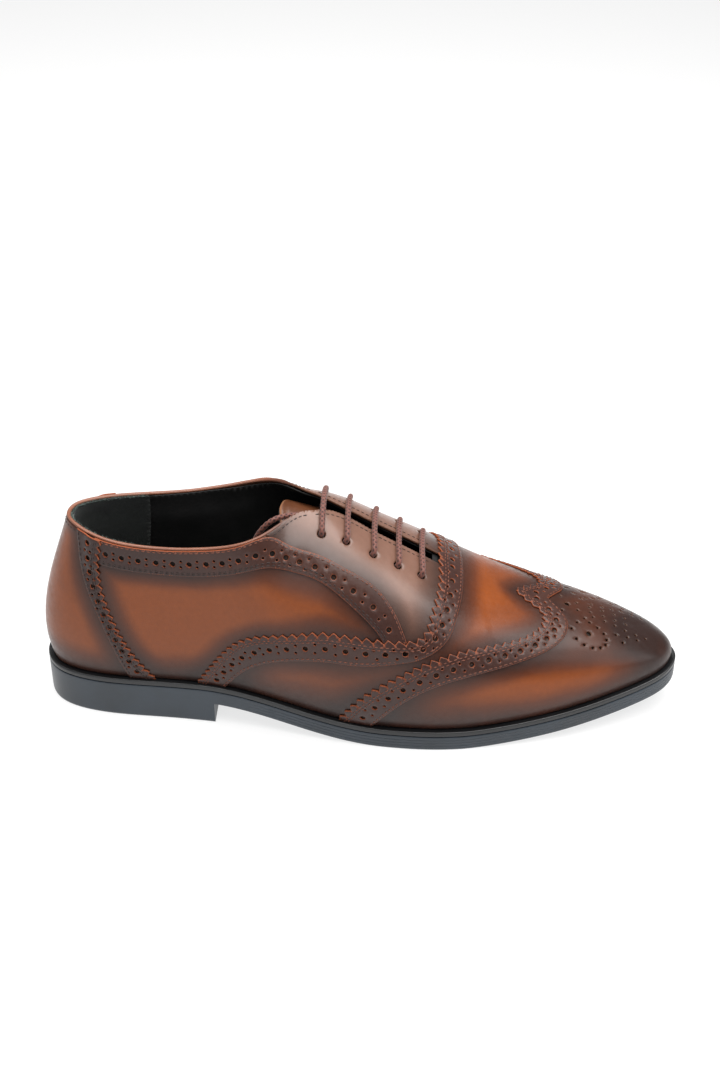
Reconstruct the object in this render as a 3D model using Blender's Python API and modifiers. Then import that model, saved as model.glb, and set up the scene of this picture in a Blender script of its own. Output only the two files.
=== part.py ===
"""Wing-tip oxford shoe, right foot, as separate leather, rubber and textile pieces.

Metres, +Z up. The toe points along +X and the outer (lateral) side faces -Y.
The origin is on the ground, at the middle of the heel's tread.

The upper is drawn on one "last" surface with two coordinates:
  s  runs round the shoe: 0 at the back of the heel, +1 along the lateral side and -1 along
     the medial side, meeting again at the toe tip;
  v  runs up the shoe: 0 where the upper meets the sole, 1 at the topline or, forward of the
     throat, on the ridge over the instep.
Every leather panel, strip and lining is a region of (s, v) at its own depth in that surface.
"""
import bmesh
import bpy
import numpy as np
from mathutils import Vector
from mathutils.geometry import delaunay_2d_cdt

MM = 0.001

# ---------------------------------------------------------------- driving sizes
LENGTH = 301 * MM                # sole, heel to toe
BALL_WIDTH = 95.2 * MM           # sole at its widest
UPPER_HEIGHT = 91.6 * MM         # from the sole's top up to the front corner of the topline
TOPLINE_WIDTH = 56 * MM          # foot opening, outside
SOLE_THICKNESS = 10 * MM         # unit sole and welt together
HEEL_HEIGHT = 11 * MM            # ground to the underside of the sole at the heel
TOE_SPRING = 13 * MM             # ground to the underside of the sole at the toe
HEEL_LENGTH = 83 * MM            # back of the heel to its breast
WELT_THICKNESS = 2.4 * MM
WELT_WIDTH = 12 * MM
SHELF = 2.7 * MM                 # welt showing outside the upper
PANEL_THICKNESS = 1.1 * MM
STRIP_THICKNESS = 0.9 * MM
LINING_THICKNESS = 0.8 * MM
STIFFENER_THICKNESS = 0.9 * MM
TONGUE_THICKNESS = 1.1 * MM
INSOLE_THICKNESS = 2.0 * MM
SOCK_THICKNESS = 1.0 * MM
SHANK_WIDTH = 13 * MM
SHANK_LENGTH = 104 * MM
SHANK_THICKNESS = 1.4 * MM
FACING_GAP = 8.4 * MM            # between the two rows of facings, over the tongue
LACE_DIAMETER = 2.6 * MM
EYELET_DIAMETER = 4.4 * MM
AGLET_LENGTH = 20 * MM
AGLET_DIAMETER = 3.0 * MM
BEAD_DIAMETER = 2.6 * MM         # rolled binding on the topline
STRIP_LIFT = 0.5 * MM            # a strip's flesh side above the panel under it
GAP = 0.3 * MM                   # between pieces that touch
LINING_GAP = 2 * GAP             # between a panel and the lining glued behind it

HEEL_CENTRE = HEEL_LENGTH / 2    # from the back of the heel to the origin
CELL = 7.4 * MM                  # mesh spacing on the upper
AROUND = 1.13 * LENGTH           # metres of upper for one unit of s
UPWARD = 1.07 * UPPER_HEIGHT     # metres of upper for one unit of v

# ---------------------------------------------------------------- the last
# station, then shares of: length, half width lateral, half width medial (the sole's edge)
OUTLINE = (
    (0.00, 0.000, 0.000, 0.000),
    (0.06, 0.020, 0.326, 0.326),
    (0.13, 0.083, 0.525, 0.532),
    (0.23, 0.193, 0.605, 0.630),
    (0.33, 0.306, 0.691, 0.620),
    (0.41, 0.390, 0.803, 0.637),
    (0.475, 0.463, 0.903, 0.746),
    (0.545, 0.545, 0.981, 0.887),
    (0.62, 0.631, 1.000, 0.992),
    (0.70, 0.726, 0.914, 0.977),
    (0.78, 0.819, 0.770, 0.830),
    (0.85, 0.894, 0.592, 0.636),
    (0.91, 0.950, 0.420, 0.445),
    (0.96, 0.986, 0.236, 0.245),
    (1.00, 1.000, 0.000, 0.000),
)
# station, then shares of: length, half opening, upper height (the topline, then the ridge);
# the dip of the section there, in degrees, and its bearing in plan (180 back, 90 out, 0 front)
CREST = (
    (0.00, 0.055, 0.000, 0.821, 72, 180),
    (0.06, 0.066, 0.304, 0.820, 74, 140),
    (0.13, 0.113, 0.664, 0.797, 80, 112),
    (0.23, 0.206, 0.893, 0.784, 84, 97),
    (0.33, 0.299, 1.000, 0.826, 80, 92),
    (0.41, 0.372, 0.804, 0.930, 55, 90),
    (0.475, 0.435, 0.143, 1.000, 12, 90),
    (0.545, 0.512, 0.000, 0.907, 0, 90),
    (0.62, 0.598, 0.000, 0.752, 0, 90),
    (0.70, 0.684, 0.000, 0.588, 0, 89),
    (0.78, 0.764, 0.000, 0.464, 0, 88),
    (0.85, 0.831, 0.000, 0.380, 0, 78),
    (0.91, 0.880, 0.000, 0.306, 0, 56),
    (0.96, 0.907, 0.000, 0.258, 0, 27),
    (1.00, 0.917, 0.000, 0.238, 0, 0),
)
# station, then: outward lean at the sole in degrees, pull of the section's two ends
FULLNESS = (
    (0.00, 16, 0.34, 0.33),
    (0.20, 15, 0.34, 0.33),
    (0.35, 14, 0.35, 0.34),
    (0.475, 17, 0.37, 0.40),
    (0.62, 20, 0.38, 0.50),
    (0.78, 20, 0.36, 0.56),
    (1.00, 18, 0.34, 0.50),
)
RIDGE_START = 0.5                # forward of this station the two sides share the crest
LINING_REAR = 0.19               # station of the heel grip's front edge
LINING_FRONT = 0.634             # station where the quarter linings meet the vamp lining

# ---------------------------------------------------------------- seams, as (s, v)
COUNTER_STRIP = (                # stitched edge, pinked edge
    ((0.186, 0.0), (0.222, 0.0)),
    ((0.166, 0.25), (0.188, 0.25)),
    ((0.139, 0.50), (0.159, 0.50)),
    ((0.103, 0.78), (0.134, 0.78)),
    ((0.085, 1.0), (0.136, 1.0)),
)
FACING_STRIP = (                 # upper edge, lower edge
    ((0.148, 1.0), (0.145, 0.838)),
    ((0.233, 1.0), (0.233, 0.832)),
    ((0.300, 1.0), (0.300, 0.828)),
    ((0.360, 1.0), (0.360, 0.845)),
    ((0.405, 0.985), (0.403, 0.838)),
    ((0.430, 0.905), (0.427, 0.790)),
    ((0.453, 0.824), (0.451, 0.722)),
    ((0.486, 0.745), (0.484, 0.635)),
    ((0.518, 0.705), (0.512, 0.570)),
    ((0.550, 0.680), (0.532, 0.527)),
    ((0.571, 0.605), (0.545, 0.490)),
    ((0.579, 0.525), (0.549, 0.478)),
)
VAMP_STRIP = (                   # pinked edge, stitched edge
    ((0.280, 0.0), (0.318, 0.0)),
    ((0.315, 0.250), (0.346, 0.160)),
    ((0.345, 0.385), (0.378, 0.262)),
    ((0.388, 0.455), (0.412, 0.312)),
    ((0.440, 0.452), (0.455, 0.318)),
    ((0.507, 0.430), (0.507, 0.314)),
    ((0.560, 0.462), (0.560, 0.362)),
    ((0.604, 0.520), (0.612, 0.450)),
    ((0.621, 0.640), (0.640, 0.560)),
    ((0.632, 0.750), (0.656, 0.690)),
    ((0.640, 0.880), (0.670, 0.860)),
    ((0.641, 1.0), (0.674, 1.0)),
)
WING_STRIP = (                   # pinked edge, stitched edge
    ((0.481, 0.0), (0.525, 0.0)),
    ((0.509, 0.136), (0.551, 0.114)),
    ((0.558, 0.282), (0.592, 0.240)),
    ((0.609, 0.407), (0.645, 0.348)),
    ((0.662, 0.510), (0.700, 0.430)),
    ((0.717, 0.591), (0.745, 0.500)),
    ((0.764, 0.680), (0.790, 0.595)),
    ((0.789, 0.790), (0.818, 0.720)),
    ((0.790, 0.870), (0.826, 0.850)),
    ((0.773, 0.935), (0.819, 0.930)),
    ((0.757, 1.0), (0.808, 1.0)),
)
EYELETS = ((0.614, 0.840), (0.583, 0.838), (0.551, 0.837), (0.516, 0.838), (0.483, 0.852))
OVER_FACINGS = 1.29 * UPPER_HEIGHT               # metres of upper for one unit of v there
FACING_EDGE_V = 1.0 - FACING_GAP / 2 / OVER_FACINGS
CORNER = 0.472                   # station of the topline's front corner


# ---------------------------------------------------------------- curves through points
def cubic(knots, values, closed=False):
    """A cubic spline through the values; closed ones repeat their first value at the end."""
    t = np.asarray(knots, float)
    y = np.asarray(values, float)
    y = y.reshape(len(t), -1)
    step = np.diff(t)
    rise = np.diff(y, axis=0) / step[:, None]
    n = len(t) - 1
    rows = n if closed else n + 1
    a = np.zeros((rows, rows)) if closed else np.eye(rows)
    r = np.zeros((rows, y.shape[1]))
    for i in range(0 if closed else 1, n):
        before = (i - 1) % n
        a[i, i] = 2 * (step[before] + step[i])
        a[i, before] += step[before]
        a[i, (i + 1) % rows] += step[i]
        r[i] = 6 * (rise[i] - rise[before])
    bend = np.linalg.solve(a, r)
    if closed:
        bend = np.vstack([bend, bend[:1]])

    def value(x):
        x = np.asarray(x, float)
        if closed:
            x = (x - t[0]) % (t[-1] - t[0]) + t[0]
        i = np.clip(np.searchsorted(t, x, side="right") - 1, 0, n - 1)
        h = step[i][..., None]
        p = (t[i + 1] - x)[..., None] / h
        q = 1 - p
        out = p * y[i] + q * y[i + 1] + ((p**3 - p) * bend[i] + (q**3 - q) * bend[i + 1]) * h * h / 6
        return out[..., 0] if out.shape[-1] == 1 else out
    return value


def round_the_shoe(rows, column, other=None, sign=1):
    """A closed spline in s from a table that gives the two sides alike, or in two columns."""
    lateral = [(row[0], row[column]) for row in rows]
    medial = [(-row[0], sign * row[other or column]) for row in rows[:0:-1]]
    both = medial + lateral
    return cubic([p[0] for p in both], [p[1] for p in both], closed=True)


outline_x = round_the_shoe(OUTLINE, 1)
outline_y = round_the_shoe([(r[0], r[1], -r[2], r[3]) for r in OUTLINE], 2, 3)
crest_x = round_the_shoe(CREST, 1)
crest_y = round_the_shoe([(r[0], r[1], -r[2]) for r in CREST], 2, 2, -1)
crest_z = round_the_shoe(CREST, 3)
crest_dip = round_the_shoe(CREST, 4)
crest_bearing = cubic([r[0] for r in CREST], [r[5] for r in CREST])
lean = round_the_shoe(FULLNESS, 1)
pull_low = round_the_shoe(FULLNESS, 2)
pull_high = round_the_shoe(FULLNESS, 3)


def smooth(x, low, high):
    """0 below low, 1 above high, and an even curve between them."""
    t = np.clip((np.asarray(x, float) - low) / (high - low), 0, 1)
    return t * t * (3 - 2 * t)


def unit(a):
    return a / np.linalg.norm(a, axis=-1, keepdims=True)


def tread(x):
    """Height of the sole's underside: up at the heel and the toe, flat under the ball."""
    share = (x + HEEL_CENTRE) / LENGTH
    toe = np.clip((share - 0.66) / 0.34, 0, 1.1) ** 1.4
    return HEEL_HEIGHT * smooth(-share, -0.54, -0.25) + TOE_SPRING * toe


def seat(x):
    """Height of the welt's top, where the upper stands."""
    return tread(x) + SOLE_THICKNESS


def edge(s, inset=0.0):
    """A point in plan on the sole's edge, moved inwards, and the outward direction there."""
    def plan(s):
        return np.stack([outline_x(s) * LENGTH - HEEL_CENTRE, outline_y(s) * BALL_WIDTH / 2], -1)
    along = unit(plan(s + 1e-3) - plan(s - 1e-3))
    out = np.stack([along[..., 1], -along[..., 0]], -1)
    return plan(s) - out * inset, out


def crest(s):
    x = crest_x(s) * LENGTH - HEEL_CENTRE
    y = crest_y(s) * TOPLINE_WIDTH / 2
    return np.stack([x, y, seat(x) + crest_z(s) * UPPER_HEIGHT], -1)


def ridge_slope(s):
    """Rise of the ridge for a step towards the toe."""
    station = np.clip(np.abs(s), RIDGE_START, 0.97)
    ahead = crest(station + 0.01) - crest(station - 0.01)
    return ahead[..., 2] / ahead[..., 0]


def outer(s, v):
    """The outside of the leather panels: one cubic section for each s."""
    s = (np.asarray(s, float) + 1) % 2 - 1
    v = np.asarray(v, float)[..., None]
    side = np.where(s >= 0, -1.0, 1.0)
    foot, out = edge(s, SHELF)
    low = np.concatenate([foot, (seat(foot[..., 0]) + GAP)[..., None]], -1)
    high = crest(s)
    tilt = np.radians(lean(s))
    rise = np.stack([out[..., 0] * np.sin(tilt), out[..., 1] * np.sin(tilt), np.cos(tilt)], -1)
    bearing = np.radians(crest_bearing(np.abs(s)))
    dip = np.radians(np.clip(crest_dip(s), 0, 90))
    down = np.where(np.abs(s) > 0.7, ridge_slope(s) * np.cos(bearing), -np.sin(dip))
    fall = unit(np.stack([np.cos(bearing) * np.cos(dip), side * np.sin(bearing) * np.cos(dip), down], -1))
    chord = np.linalg.norm(high - low, axis=-1)
    a = low + rise * (pull_low(s) * chord)[..., None]
    b = high + fall * (pull_high(s) * chord)[..., None]
    return (1 - v)**3 * low + 3 * (1 - v)**2 * v * a + 3 * (1 - v) * v * v * b + v**3 * high


def slopes(s, v):
    """The surface's two tangents, per unit of s and of v."""
    v = np.clip(v, 0.002, 0.995)
    e = 1e-3
    return (outer(s + e, v) - outer(s - e, v)) / (2 * e), (outer(s, v + e) - outer(s, v - e)) / (2 * e)


def normal(s, v):
    """Outward direction; on the ridge it has no sideways part, so that the two halves meet."""
    s = np.asarray(s, float)
    v = np.asarray(v, float)
    n = unit(np.cross(*slopes(s, v)))
    other = unit(np.cross(*slopes(-s, v)))
    other[..., 1] *= -1
    ridge = ((v > 0.999) & (np.abs(s) > RIDGE_START))[..., None]
    n = np.where(ridge, n + other, n)
    n[..., 1] = np.where(ridge[..., 0], 0, n[..., 1])
    return unit(n)


def at(s, v, depth=0.0):
    """A point of the upper, a depth below the outside of the panels (above it if negative)."""
    s = np.asarray(s, float)
    v = np.asarray(v, float)
    depth = np.broadcast_to(np.asarray(depth, float), s.shape)
    p = outer(s, v) - normal(s, v) * depth[..., None]
    ridge = (v > 0.999) & (np.abs(s) > RIDGE_START)
    p[..., 1] = np.where(ridge & (np.abs(s) > 0.53), 0, p[..., 1])
    return p


# ---------------------------------------------------------------- flat regions of (s, v)
SCALE = np.array([AROUND, UPWARD])


def walk(points, step=None):
    """Points at an even spacing along a smooth line through (s, v) points."""
    points = np.asarray(points, float)
    step = step or CELL
    run = np.r_[0, np.cumsum(np.linalg.norm(np.diff(points, axis=0) * SCALE, axis=1))]
    count = max(int(round(run[-1] / step)), 1)
    if len(points) == 2:
        return points[0] + (points[1] - points[0]) * np.linspace(0, 1, count + 1)[:, None]
    return cubic(run, points)(np.linspace(0, run[-1], count + 1))


def side_of(strip, share):
    """A line of (s, v) points between the two edges of a strip: 0 its first, 1 its second."""
    first = np.array([row[0] for row in strip])
    second = np.array([row[1] for row in strip])
    return first + (second - first) * share


def loop(*lines):
    """One closed outline from lines that follow each other end to end."""
    points = np.vstack([line[:-1] for line in lines])
    x, y = (points * SCALE).T
    area = np.dot(x, np.roll(y, -1)) - np.dot(y, np.roll(x, -1))
    return points if area > 0 else points[::-1]


def shrink(points, inset):
    """The outline moved in by a small distance, except where it lies on the ridge or the toe."""
    p = points * SCALE
    ahead = unit(np.roll(p, -1, 0) - p)
    behind = np.roll(ahead, 1, 0)
    inward = np.stack([-ahead[:, 1] - behind[:, 1], ahead[:, 0] + behind[:, 0]], 1)
    inward /= np.maximum((inward**2).sum(1) / 2, 0.5)[:, None]
    moved = (p + inward * inset) / SCALE
    on_ridge = (points[:, 1] > 0.9999) & (np.abs(points[:, 0]) > RIDGE_START)
    moved[on_ridge, 1] = 1
    at_toe = np.abs(points[:, 0]) > 0.9999
    moved[at_toe, 0] = points[at_toe, 0]
    return moved


def inside(points, outline):
    """Which points lie within a closed outline."""
    x, y = points[:, 0, None], points[:, 1, None]
    ax, ay = outline[None, :, 0], outline[None, :, 1]
    bx, by = np.roll(outline, -1, 0)[None, :, 0], np.roll(outline, -1, 0)[None, :, 1]
    crosses = (ay > y) != (by > y)
    cut = ax + (y - ay) * (bx - ax) / np.where(by == ay, 1, by - ay)
    return (crosses & (x < cut)).sum(1) % 2 == 1


def clearance(points, outline):
    """Distance from each point to the outline."""
    a = outline[None]
    d = np.roll(outline, -1, 0)[None] - a
    t = np.clip(((points[:, None] - a) * d).sum(2) / np.maximum((d * d).sum(2), 1e-15), 0, 1)
    return np.linalg.norm(points[:, None] - a - d * t[..., None], axis=2).min(1)


def triangulate(outline, holes=(), cell=None, scale=SCALE):
    """Vertices and triangles that fill an outline, with a lattice of points inside it.

    Where the ridge runs into the toe line, a point beside that pole keeps its triangles apart.
    """
    cell = cell or CELL
    flat = [outline * scale] + [hole * scale for hole in holes]
    low, high = flat[0].min(0), flat[0].max(0)
    grid = np.stack(np.meshgrid(
        np.arange(np.floor(low[0] / cell), np.ceil(high[0] / cell) + 1) * cell,
        np.arange(np.floor(low[1] / cell), np.ceil(high[1] / cell) + 1) * cell), -1).reshape(-1, 2)
    keep = inside(grid, flat[0]) & (clearance(grid, flat[0]) > 0.45 * cell)
    pole = outline[(np.abs(outline) > 0.9999).all(1)]
    beside_pole = (pole * scale) * (1 - 0.5 * cell / scale)
    for hole in flat[1:]:
        keep &= ~inside(grid, hole) & (clearance(grid, hole) > 0.3 * cell)
    points = np.vstack(flat + [grid[keep], beside_pole])
    rims, start = [], 0
    for ring in flat:
        rims += [(start + i, start + (i + 1) % len(ring)) for i in range(len(ring))]
        start += len(ring)
    whole = list(range(len(flat[0])))
    verts, _, faces, *_ = delaunay_2d_cdt([Vector(p) for p in points], rims, [whole], 1, 1e-7)
    verts = np.array([tuple(p) for p in verts])
    faces = np.array(faces)
    middle = verts[faces].mean(1)
    for hole in flat[1:]:
        faces = faces[~inside(middle, hole)]
        middle = verts[faces].mean(1)
    return verts / scale, faces


# ---------------------------------------------------------------- objects
def collection(name):
    group = bpy.data.collections.new(name)
    bpy.context.scene.collection.children.link(group)
    return group


def material(name, colour, roughness, metallic=0.0):
    mat = bpy.data.materials.new(name)
    mat.use_nodes = True
    shader = mat.node_tree.nodes["Principled BSDF"]
    shader.inputs["Base Color"].default_value = (*colour, 1)
    shader.inputs["Roughness"].default_value = roughness
    shader.inputs["Metallic"].default_value = metallic
    mat.diffuse_color = (*colour, 1)
    return mat


def add(name, data, mat, parent=None, origin=(0, 0, 0)):
    """Put a mesh or a curve in the shoe's collection, with its origin at a given point."""
    obj = bpy.data.objects.new(name, data)
    shoe.objects.link(obj)
    obj.data.materials.append(mat)
    if parent:
        obj.parent = parent
    else:
        obj.location = origin
    return obj


def mesh(name, verts, faces, origin=(0, 0, 0)):
    """A mesh from arrays, with coincident points joined."""
    data = bpy.data.meshes.new(name)
    data.from_pydata([tuple(p) for p in np.asarray(verts) - np.asarray(origin)], [],
                     [tuple(int(i) for i in f) for f in faces])
    bm = bmesh.new()
    bm.from_mesh(data)
    bmesh.ops.remove_doubles(bm, verts=bm.verts, dist=0.00002)
    bm.to_mesh(data)
    bm.free()
    data.shade_smooth()
    return data


def thicken(obj, thickness):
    """A leather piece's wall, grown outwards from its flesh side."""
    wall = obj.modifiers.new("thickness", "SOLIDIFY")
    wall.thickness = thickness
    wall.offset = 1
    return obj


def piece(name, outlines, depth, thickness, mat, holes=(), cell=None):
    """A sheet over regions of the upper. depth is that of its outer face and may vary."""
    verts, faces = [], []
    for outline in outlines:
        cut = [hole for hole in holes if inside(hole.mean(0)[None] * SCALE, outline * SCALE)[0]]
        flat, tris = triangulate(shrink(outline, GAP * 0.6), cut, cell)
        faces += (tris + sum(len(v) for v in verts)).tolist()
        below = depth(flat[:, 0], flat[:, 1]) if callable(depth) else depth
        verts.append(at(flat[:, 0], flat[:, 1], below + thickness))
    return thicken(add(name, mesh(name, np.vstack(verts), faces), mat), thickness)


def both(outline):
    """A lateral outline and its medial twin."""
    return [outline, (outline * (-1, 1))[::-1]]


def slab(name, ring, top, bottom, mat, cell, holes=()):
    """A solid between two heights over an outline in plan; the heights are functions of x."""
    flat, tris = triangulate(ring, holes, cell, np.array([1.0, 1.0]))
    count = len(flat)
    upper = np.column_stack([flat, top(flat[:, 0])])
    lower = np.column_stack([flat, bottom(flat[:, 0])])
    rim = {}
    for a, b, c in tris:
        for pair in ((a, b), (b, c), (c, a)):
            rim[pair] = rim.get((pair[1], pair[0])) is None
            if not rim[pair]:
                rim[(pair[1], pair[0])] = False
    faces = tris.tolist() + (tris[:, ::-1] + count).tolist()
    for (a, b), open_edge in rim.items():
        if open_edge:
            faces += [(b, a, a + count), (b, a + count, b + count)]
    data = bpy.data.meshes.new(name)
    data.from_pydata([tuple(p) for p in np.vstack([upper, lower])], [], faces)
    return add(name, data, mat)


def ring_in_plan(inset, count=80):
    """Points all round the sole's edge, moved inwards; the folds of tight bends are left out."""
    s = np.linspace(-1, 1, count, endpoint=False)
    ring = edge(s, inset)[0]
    return ring[clearance(ring, edge(s)[0]) > inset * 0.98 - 0.1 * MM]


# ---------------------------------------------------------------- the bottom
def clip_in_plan(ring, low, high):
    """The part of a closed outline between two x values, as a closed outline."""
    out = []
    for a, b in zip(ring, np.roll(ring, -1, 0)):
        cuts = sorted(t for limit in (low, high) if a[0] != b[0]
                      for t in [(limit - a[0]) / (b[0] - a[0])] if 0 < t < 1)
        for t in [0.0] + cuts:
            p = a + (b - a) * t
            if low - 1e-9 <= p[0] <= high + 1e-9:
                out.append(p)
    return np.array(out)


def make_sole():
    breast = HEEL_LENGTH - HEEL_CENTRE
    top = WELT_THICKNESS + GAP
    ring = ring_in_plan(0)
    sole = slab("sole_unit", ring, lambda x: seat(x) - top, tread, black_rubber, 14 * MM)
    heel = slab("heel_block", clip_in_plan(ring, -1, breast), lambda x: tread(x) + 2 * MM,
                lambda x: 0 * x, black_rubber, 20 * MM)
    shoe.objects.unlink(heel)
    tools.objects.link(heel)
    heel.hide_render = True
    heel.display_type = "WIRE"
    join = sole.modifiers.new("heel", "BOOLEAN")
    join.operation = "UNION"
    join.object = heel
    slab("welt", ring, seat, lambda x: seat(x) - WELT_THICKNESS, black_rubber, 10 * MM,
         [ring_in_plan(WELT_WIDTH, count=64)])


def make_bottom_stock():
    """What lies between the sole and the foot: filler, shank, insole board and sock."""
    wall = SHELF + PANEL_THICKNESS + STIFFENER_THICKNESS + LINING_THICKNESS + 4.5 * GAP
    bed = SOLE_THICKNESS - WELT_THICKNESS
    cavity = ring_in_plan(WELT_WIDTH + GAP, count=64)
    shank_back = -HEEL_CENTRE + 34 * MM
    shank_front = shank_back + SHANK_LENGTH
    slab("bottom_filler", clip_in_plan(cavity, shank_front + 4 * MM, LENGTH),
         lambda x: seat(x) - 0.1 * MM, lambda x: tread(x) + bed, cork, 12 * MM)
    half = SHANK_WIDTH / 2
    run = np.linspace(shank_back + half, shank_front - half, 14)
    nose = np.linspace(0, np.pi, 7)[1:-1]
    shank = [(x, -half) for x in run]
    shank += [(run[-1] + half * np.sin(a), -half * np.cos(a)) for a in nose]
    shank += [(x, half) for x in run[::-1]]
    shank += [(run[0] - half * np.sin(a), half * np.cos(a)) for a in nose]
    slab("shank", np.array(shank), lambda x: tread(x) + bed + GAP + SHANK_THICKNESS,
         lambda x: tread(x) + bed + GAP, steel, 8 * MM)
    board = ring_in_plan(wall, count=72)
    slab("insole_board", board, lambda x: seat(x) + GAP + INSOLE_THICKNESS,
         lambda x: seat(x) + GAP, board_brown, 13 * MM)
    level = 2 * GAP + INSOLE_THICKNESS
    slab("sock_liner", ring_in_plan(wall + 1.2 * MM, count=72),
         lambda x: seat(x) + level + SOCK_THICKNESS, lambda x: seat(x) + level, black_lining, 13 * MM)


# ---------------------------------------------------------------- the upper
def mid(strip):
    """The seam that a strip covers, half way across it."""
    return walk(side_of(strip, 0.5))


def meet(line, other):
    """Index of the point of a line that lies closest to the last point of another."""
    return int(np.linalg.norm((line - other[-1]) * SCALE, axis=1).argmin())


def eyelet_holes(side, radius):
    holes = []
    for s, v in EYELETS:
        along, up = slopes(np.array([side * s]), np.array([v]))
        size = radius / np.array([np.linalg.norm(along), np.linalg.norm(up)])
        turn = np.linspace(0, 2 * np.pi, 10, endpoint=False)
        holes.append(np.array([side * s, v]) + np.stack([np.cos(turn), np.sin(turn)], 1) * size)
    return holes


def panel_outlines():
    """The leather panels, edge to edge under the strips that cover their seams."""
    counter, facing, vamp, wing = mid(COUNTER_STRIP), mid(FACING_STRIP), mid(VAMP_STRIP), mid(WING_STRIP)
    facing = walk([(0.402, 1.0), (0.420, 0.900)] + side_of(FACING_STRIP[6:], 0.5).tolist())
    end = meet(vamp, facing)
    facing[-1] = vamp[end]
    counter_top = counter[-1]
    quarter = loop(counter[::-1], walk([counter[0], vamp[0]]), vamp[:end + 1], facing[::-1],
                   walk([facing[0], counter_top]))
    throat = np.array([vamp[-1][0] - 0.004, FACING_EDGE_V])
    corner = np.array([CORNER, FACING_EDGE_V + 0.012])
    front = np.vstack([vamp[end:-1][vamp[end:-1][:, 1] < FACING_EDGE_V - 0.03], throat[None]])
    lacing = loop(facing, front, walk([throat, corner]), walk([corner, (0.452, 1.0), facing[0]]))
    toe = walk([wing[-1], (1.0, 1.0)]), walk([(1.0, 1.0), (1.0, 0.0)])
    cap = loop(wing, toe[0], toe[1], walk([(1.0, 0.0), wing[0]]))
    body = loop(vamp, walk([vamp[-1], wing[-1]]), wing[::-1], walk([wing[0], vamp[0]]))
    heel = np.vstack([counter[:-1], walk([counter_top, counter_top * (-1, 1)])[:-1],
                      (counter * (-1, 1))[:0:-1], walk([counter[0] * (-1, 1), counter[0]])[:-1]])
    return heel, quarter, lacing, body, cap


def strip_outline(strip):
    a, b = walk(side_of(strip, 0), 6 * MM), walk(side_of(strip, 1), 6 * MM)
    return loop(a, walk([a[-1], b[-1]], 5 * MM), b[::-1], walk([b[0], a[0]], 5 * MM))


def lining_depth(s, v):
    """The lining lies close to the panels at the topline, and inside the stiffeners elsewhere."""
    deep = STIFFENER_THICKNESS + GAP
    forward = smooth(np.abs(s), 0.63, 0.70)
    low = (1 - smooth(v, 0.80, 0.93)) * (1 - smooth(np.abs(s), 0.31, 0.42))
    return PANEL_THICKNESS + LINING_GAP + deep * np.maximum(forward, low)


def make_panels():
    heel, quarter, lacing, body, cap = panel_outlines()
    holes = eyelet_holes(1, EYELET_DIAMETER / 2), eyelet_holes(-1, EYELET_DIAMETER / 2)
    piece("counter", [heel], 0, PANEL_THICKNESS, tan_leather)
    for side, region in zip(("lateral", "medial"), both(quarter)):
        piece("quarter_" + side, [region], 0, PANEL_THICKNESS, tan_leather)
    for side, region, cut in zip(("lateral", "medial"), both(lacing), holes):
        piece("facing_" + side, [region], 0, PANEL_THICKNESS, brown_leather, cut)
    piece("vamp", both(body), 0, PANEL_THICKNESS, tan_leather)
    piece("toe_cap", both(cap), 0, PANEL_THICKNESS, tan_leather)


def make_strips():
    proud = -STRIP_THICKNESS - STRIP_LIFT
    for name, strip in (("counter_strip_", COUNTER_STRIP), ("facing_strip_", FACING_STRIP)):
        for side, region in zip(("lateral", "medial"), both(strip_outline(strip))):
            piece(name + side, [region], proud, STRIP_THICKNESS, dark_leather)
    piece("vamp_strip", both(strip_outline(VAMP_STRIP)), proud, STRIP_THICKNESS, dark_leather)
    piece("wing_strip", both(strip_outline(WING_STRIP)), proud, STRIP_THICKNESS, dark_leather)


def make_linings():
    cell = 10.5 * MM
    rear, front = LINING_REAR, LINING_FRONT
    rows = walk([(rear, 0.0), (rear, 1.0)], cell)
    grip = loop(rows, walk([(rear, 1.0), (-rear, 1.0)], cell), (rows * (-1, 1))[::-1],
                walk([(-rear, 0.0), (rear, 0.0)], cell))
    edge_v = FACING_EDGE_V
    topline = [(rear, 1.0), (0.30, 1.0), (0.40, 0.995), (0.452, 0.995), (CORNER, edge_v)]
    quarter = loop(rows, walk(topline, cell), walk([(CORNER, edge_v), (front, edge_v)], cell),
                   walk([(front, edge_v), (front, 0.0)], cell), walk([(front, 0.0), (rear, 0.0)], cell))
    forepart = loop(walk([(front, 0.0), (front, 1.0)], cell), walk([(front, 1.0), (1.0, 1.0)], cell),
                    walk([(1.0, 1.0), (1.0, 0.0)], cell), walk([(1.0, 0.0), (front, 0.0)], cell))
    holes = eyelet_holes(1, EYELET_DIAMETER / 2), eyelet_holes(-1, EYELET_DIAMETER / 2)
    piece("heel_grip", [grip], lining_depth, LINING_THICKNESS, black_suede, cell=cell)
    for side, region, cut in zip(("lateral", "medial"), both(quarter), holes):
        piece("quarter_lining_" + side, [region], lining_depth, LINING_THICKNESS, black_lining, cut, cell)
    piece("vamp_lining", both(forepart), lining_depth, LINING_THICKNESS, black_lining, cell=cell)


def make_stiffeners():
    """The hidden heel counter and toe puff, between panels and linings."""
    cell = 9.5 * MM
    depth = PANEL_THICKNESS + GAP
    side = walk([(0.30, 0.0), (0.27, 0.25), (0.20, 0.60), (0.10, 0.77)], cell)
    cup = np.vstack([side[:-1], walk([side[-1], side[-1] * (-1, 1)], cell)[:-1],
                     (side * (-1, 1))[:0:-1], walk([side[0] * (-1, 1), side[0]], cell)[:-1]])
    piece("heel_stiffener", [cup], depth, STIFFENER_THICKNESS, board_brown, cell=cell)
    back = walk([(0.70, 0.0), (0.76, 0.5), (0.83, 1.0)], cell)
    puff = loop(back, walk([back[-1], (1.0, 1.0)], cell), walk([(1.0, 1.0), (1.0, 0.0)], cell),
                walk([(1.0, 0.0), back[0]], cell))
    piece("toe_puff", both(puff), depth, STIFFENER_THICKNESS, board_brown, cell=cell)


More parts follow.
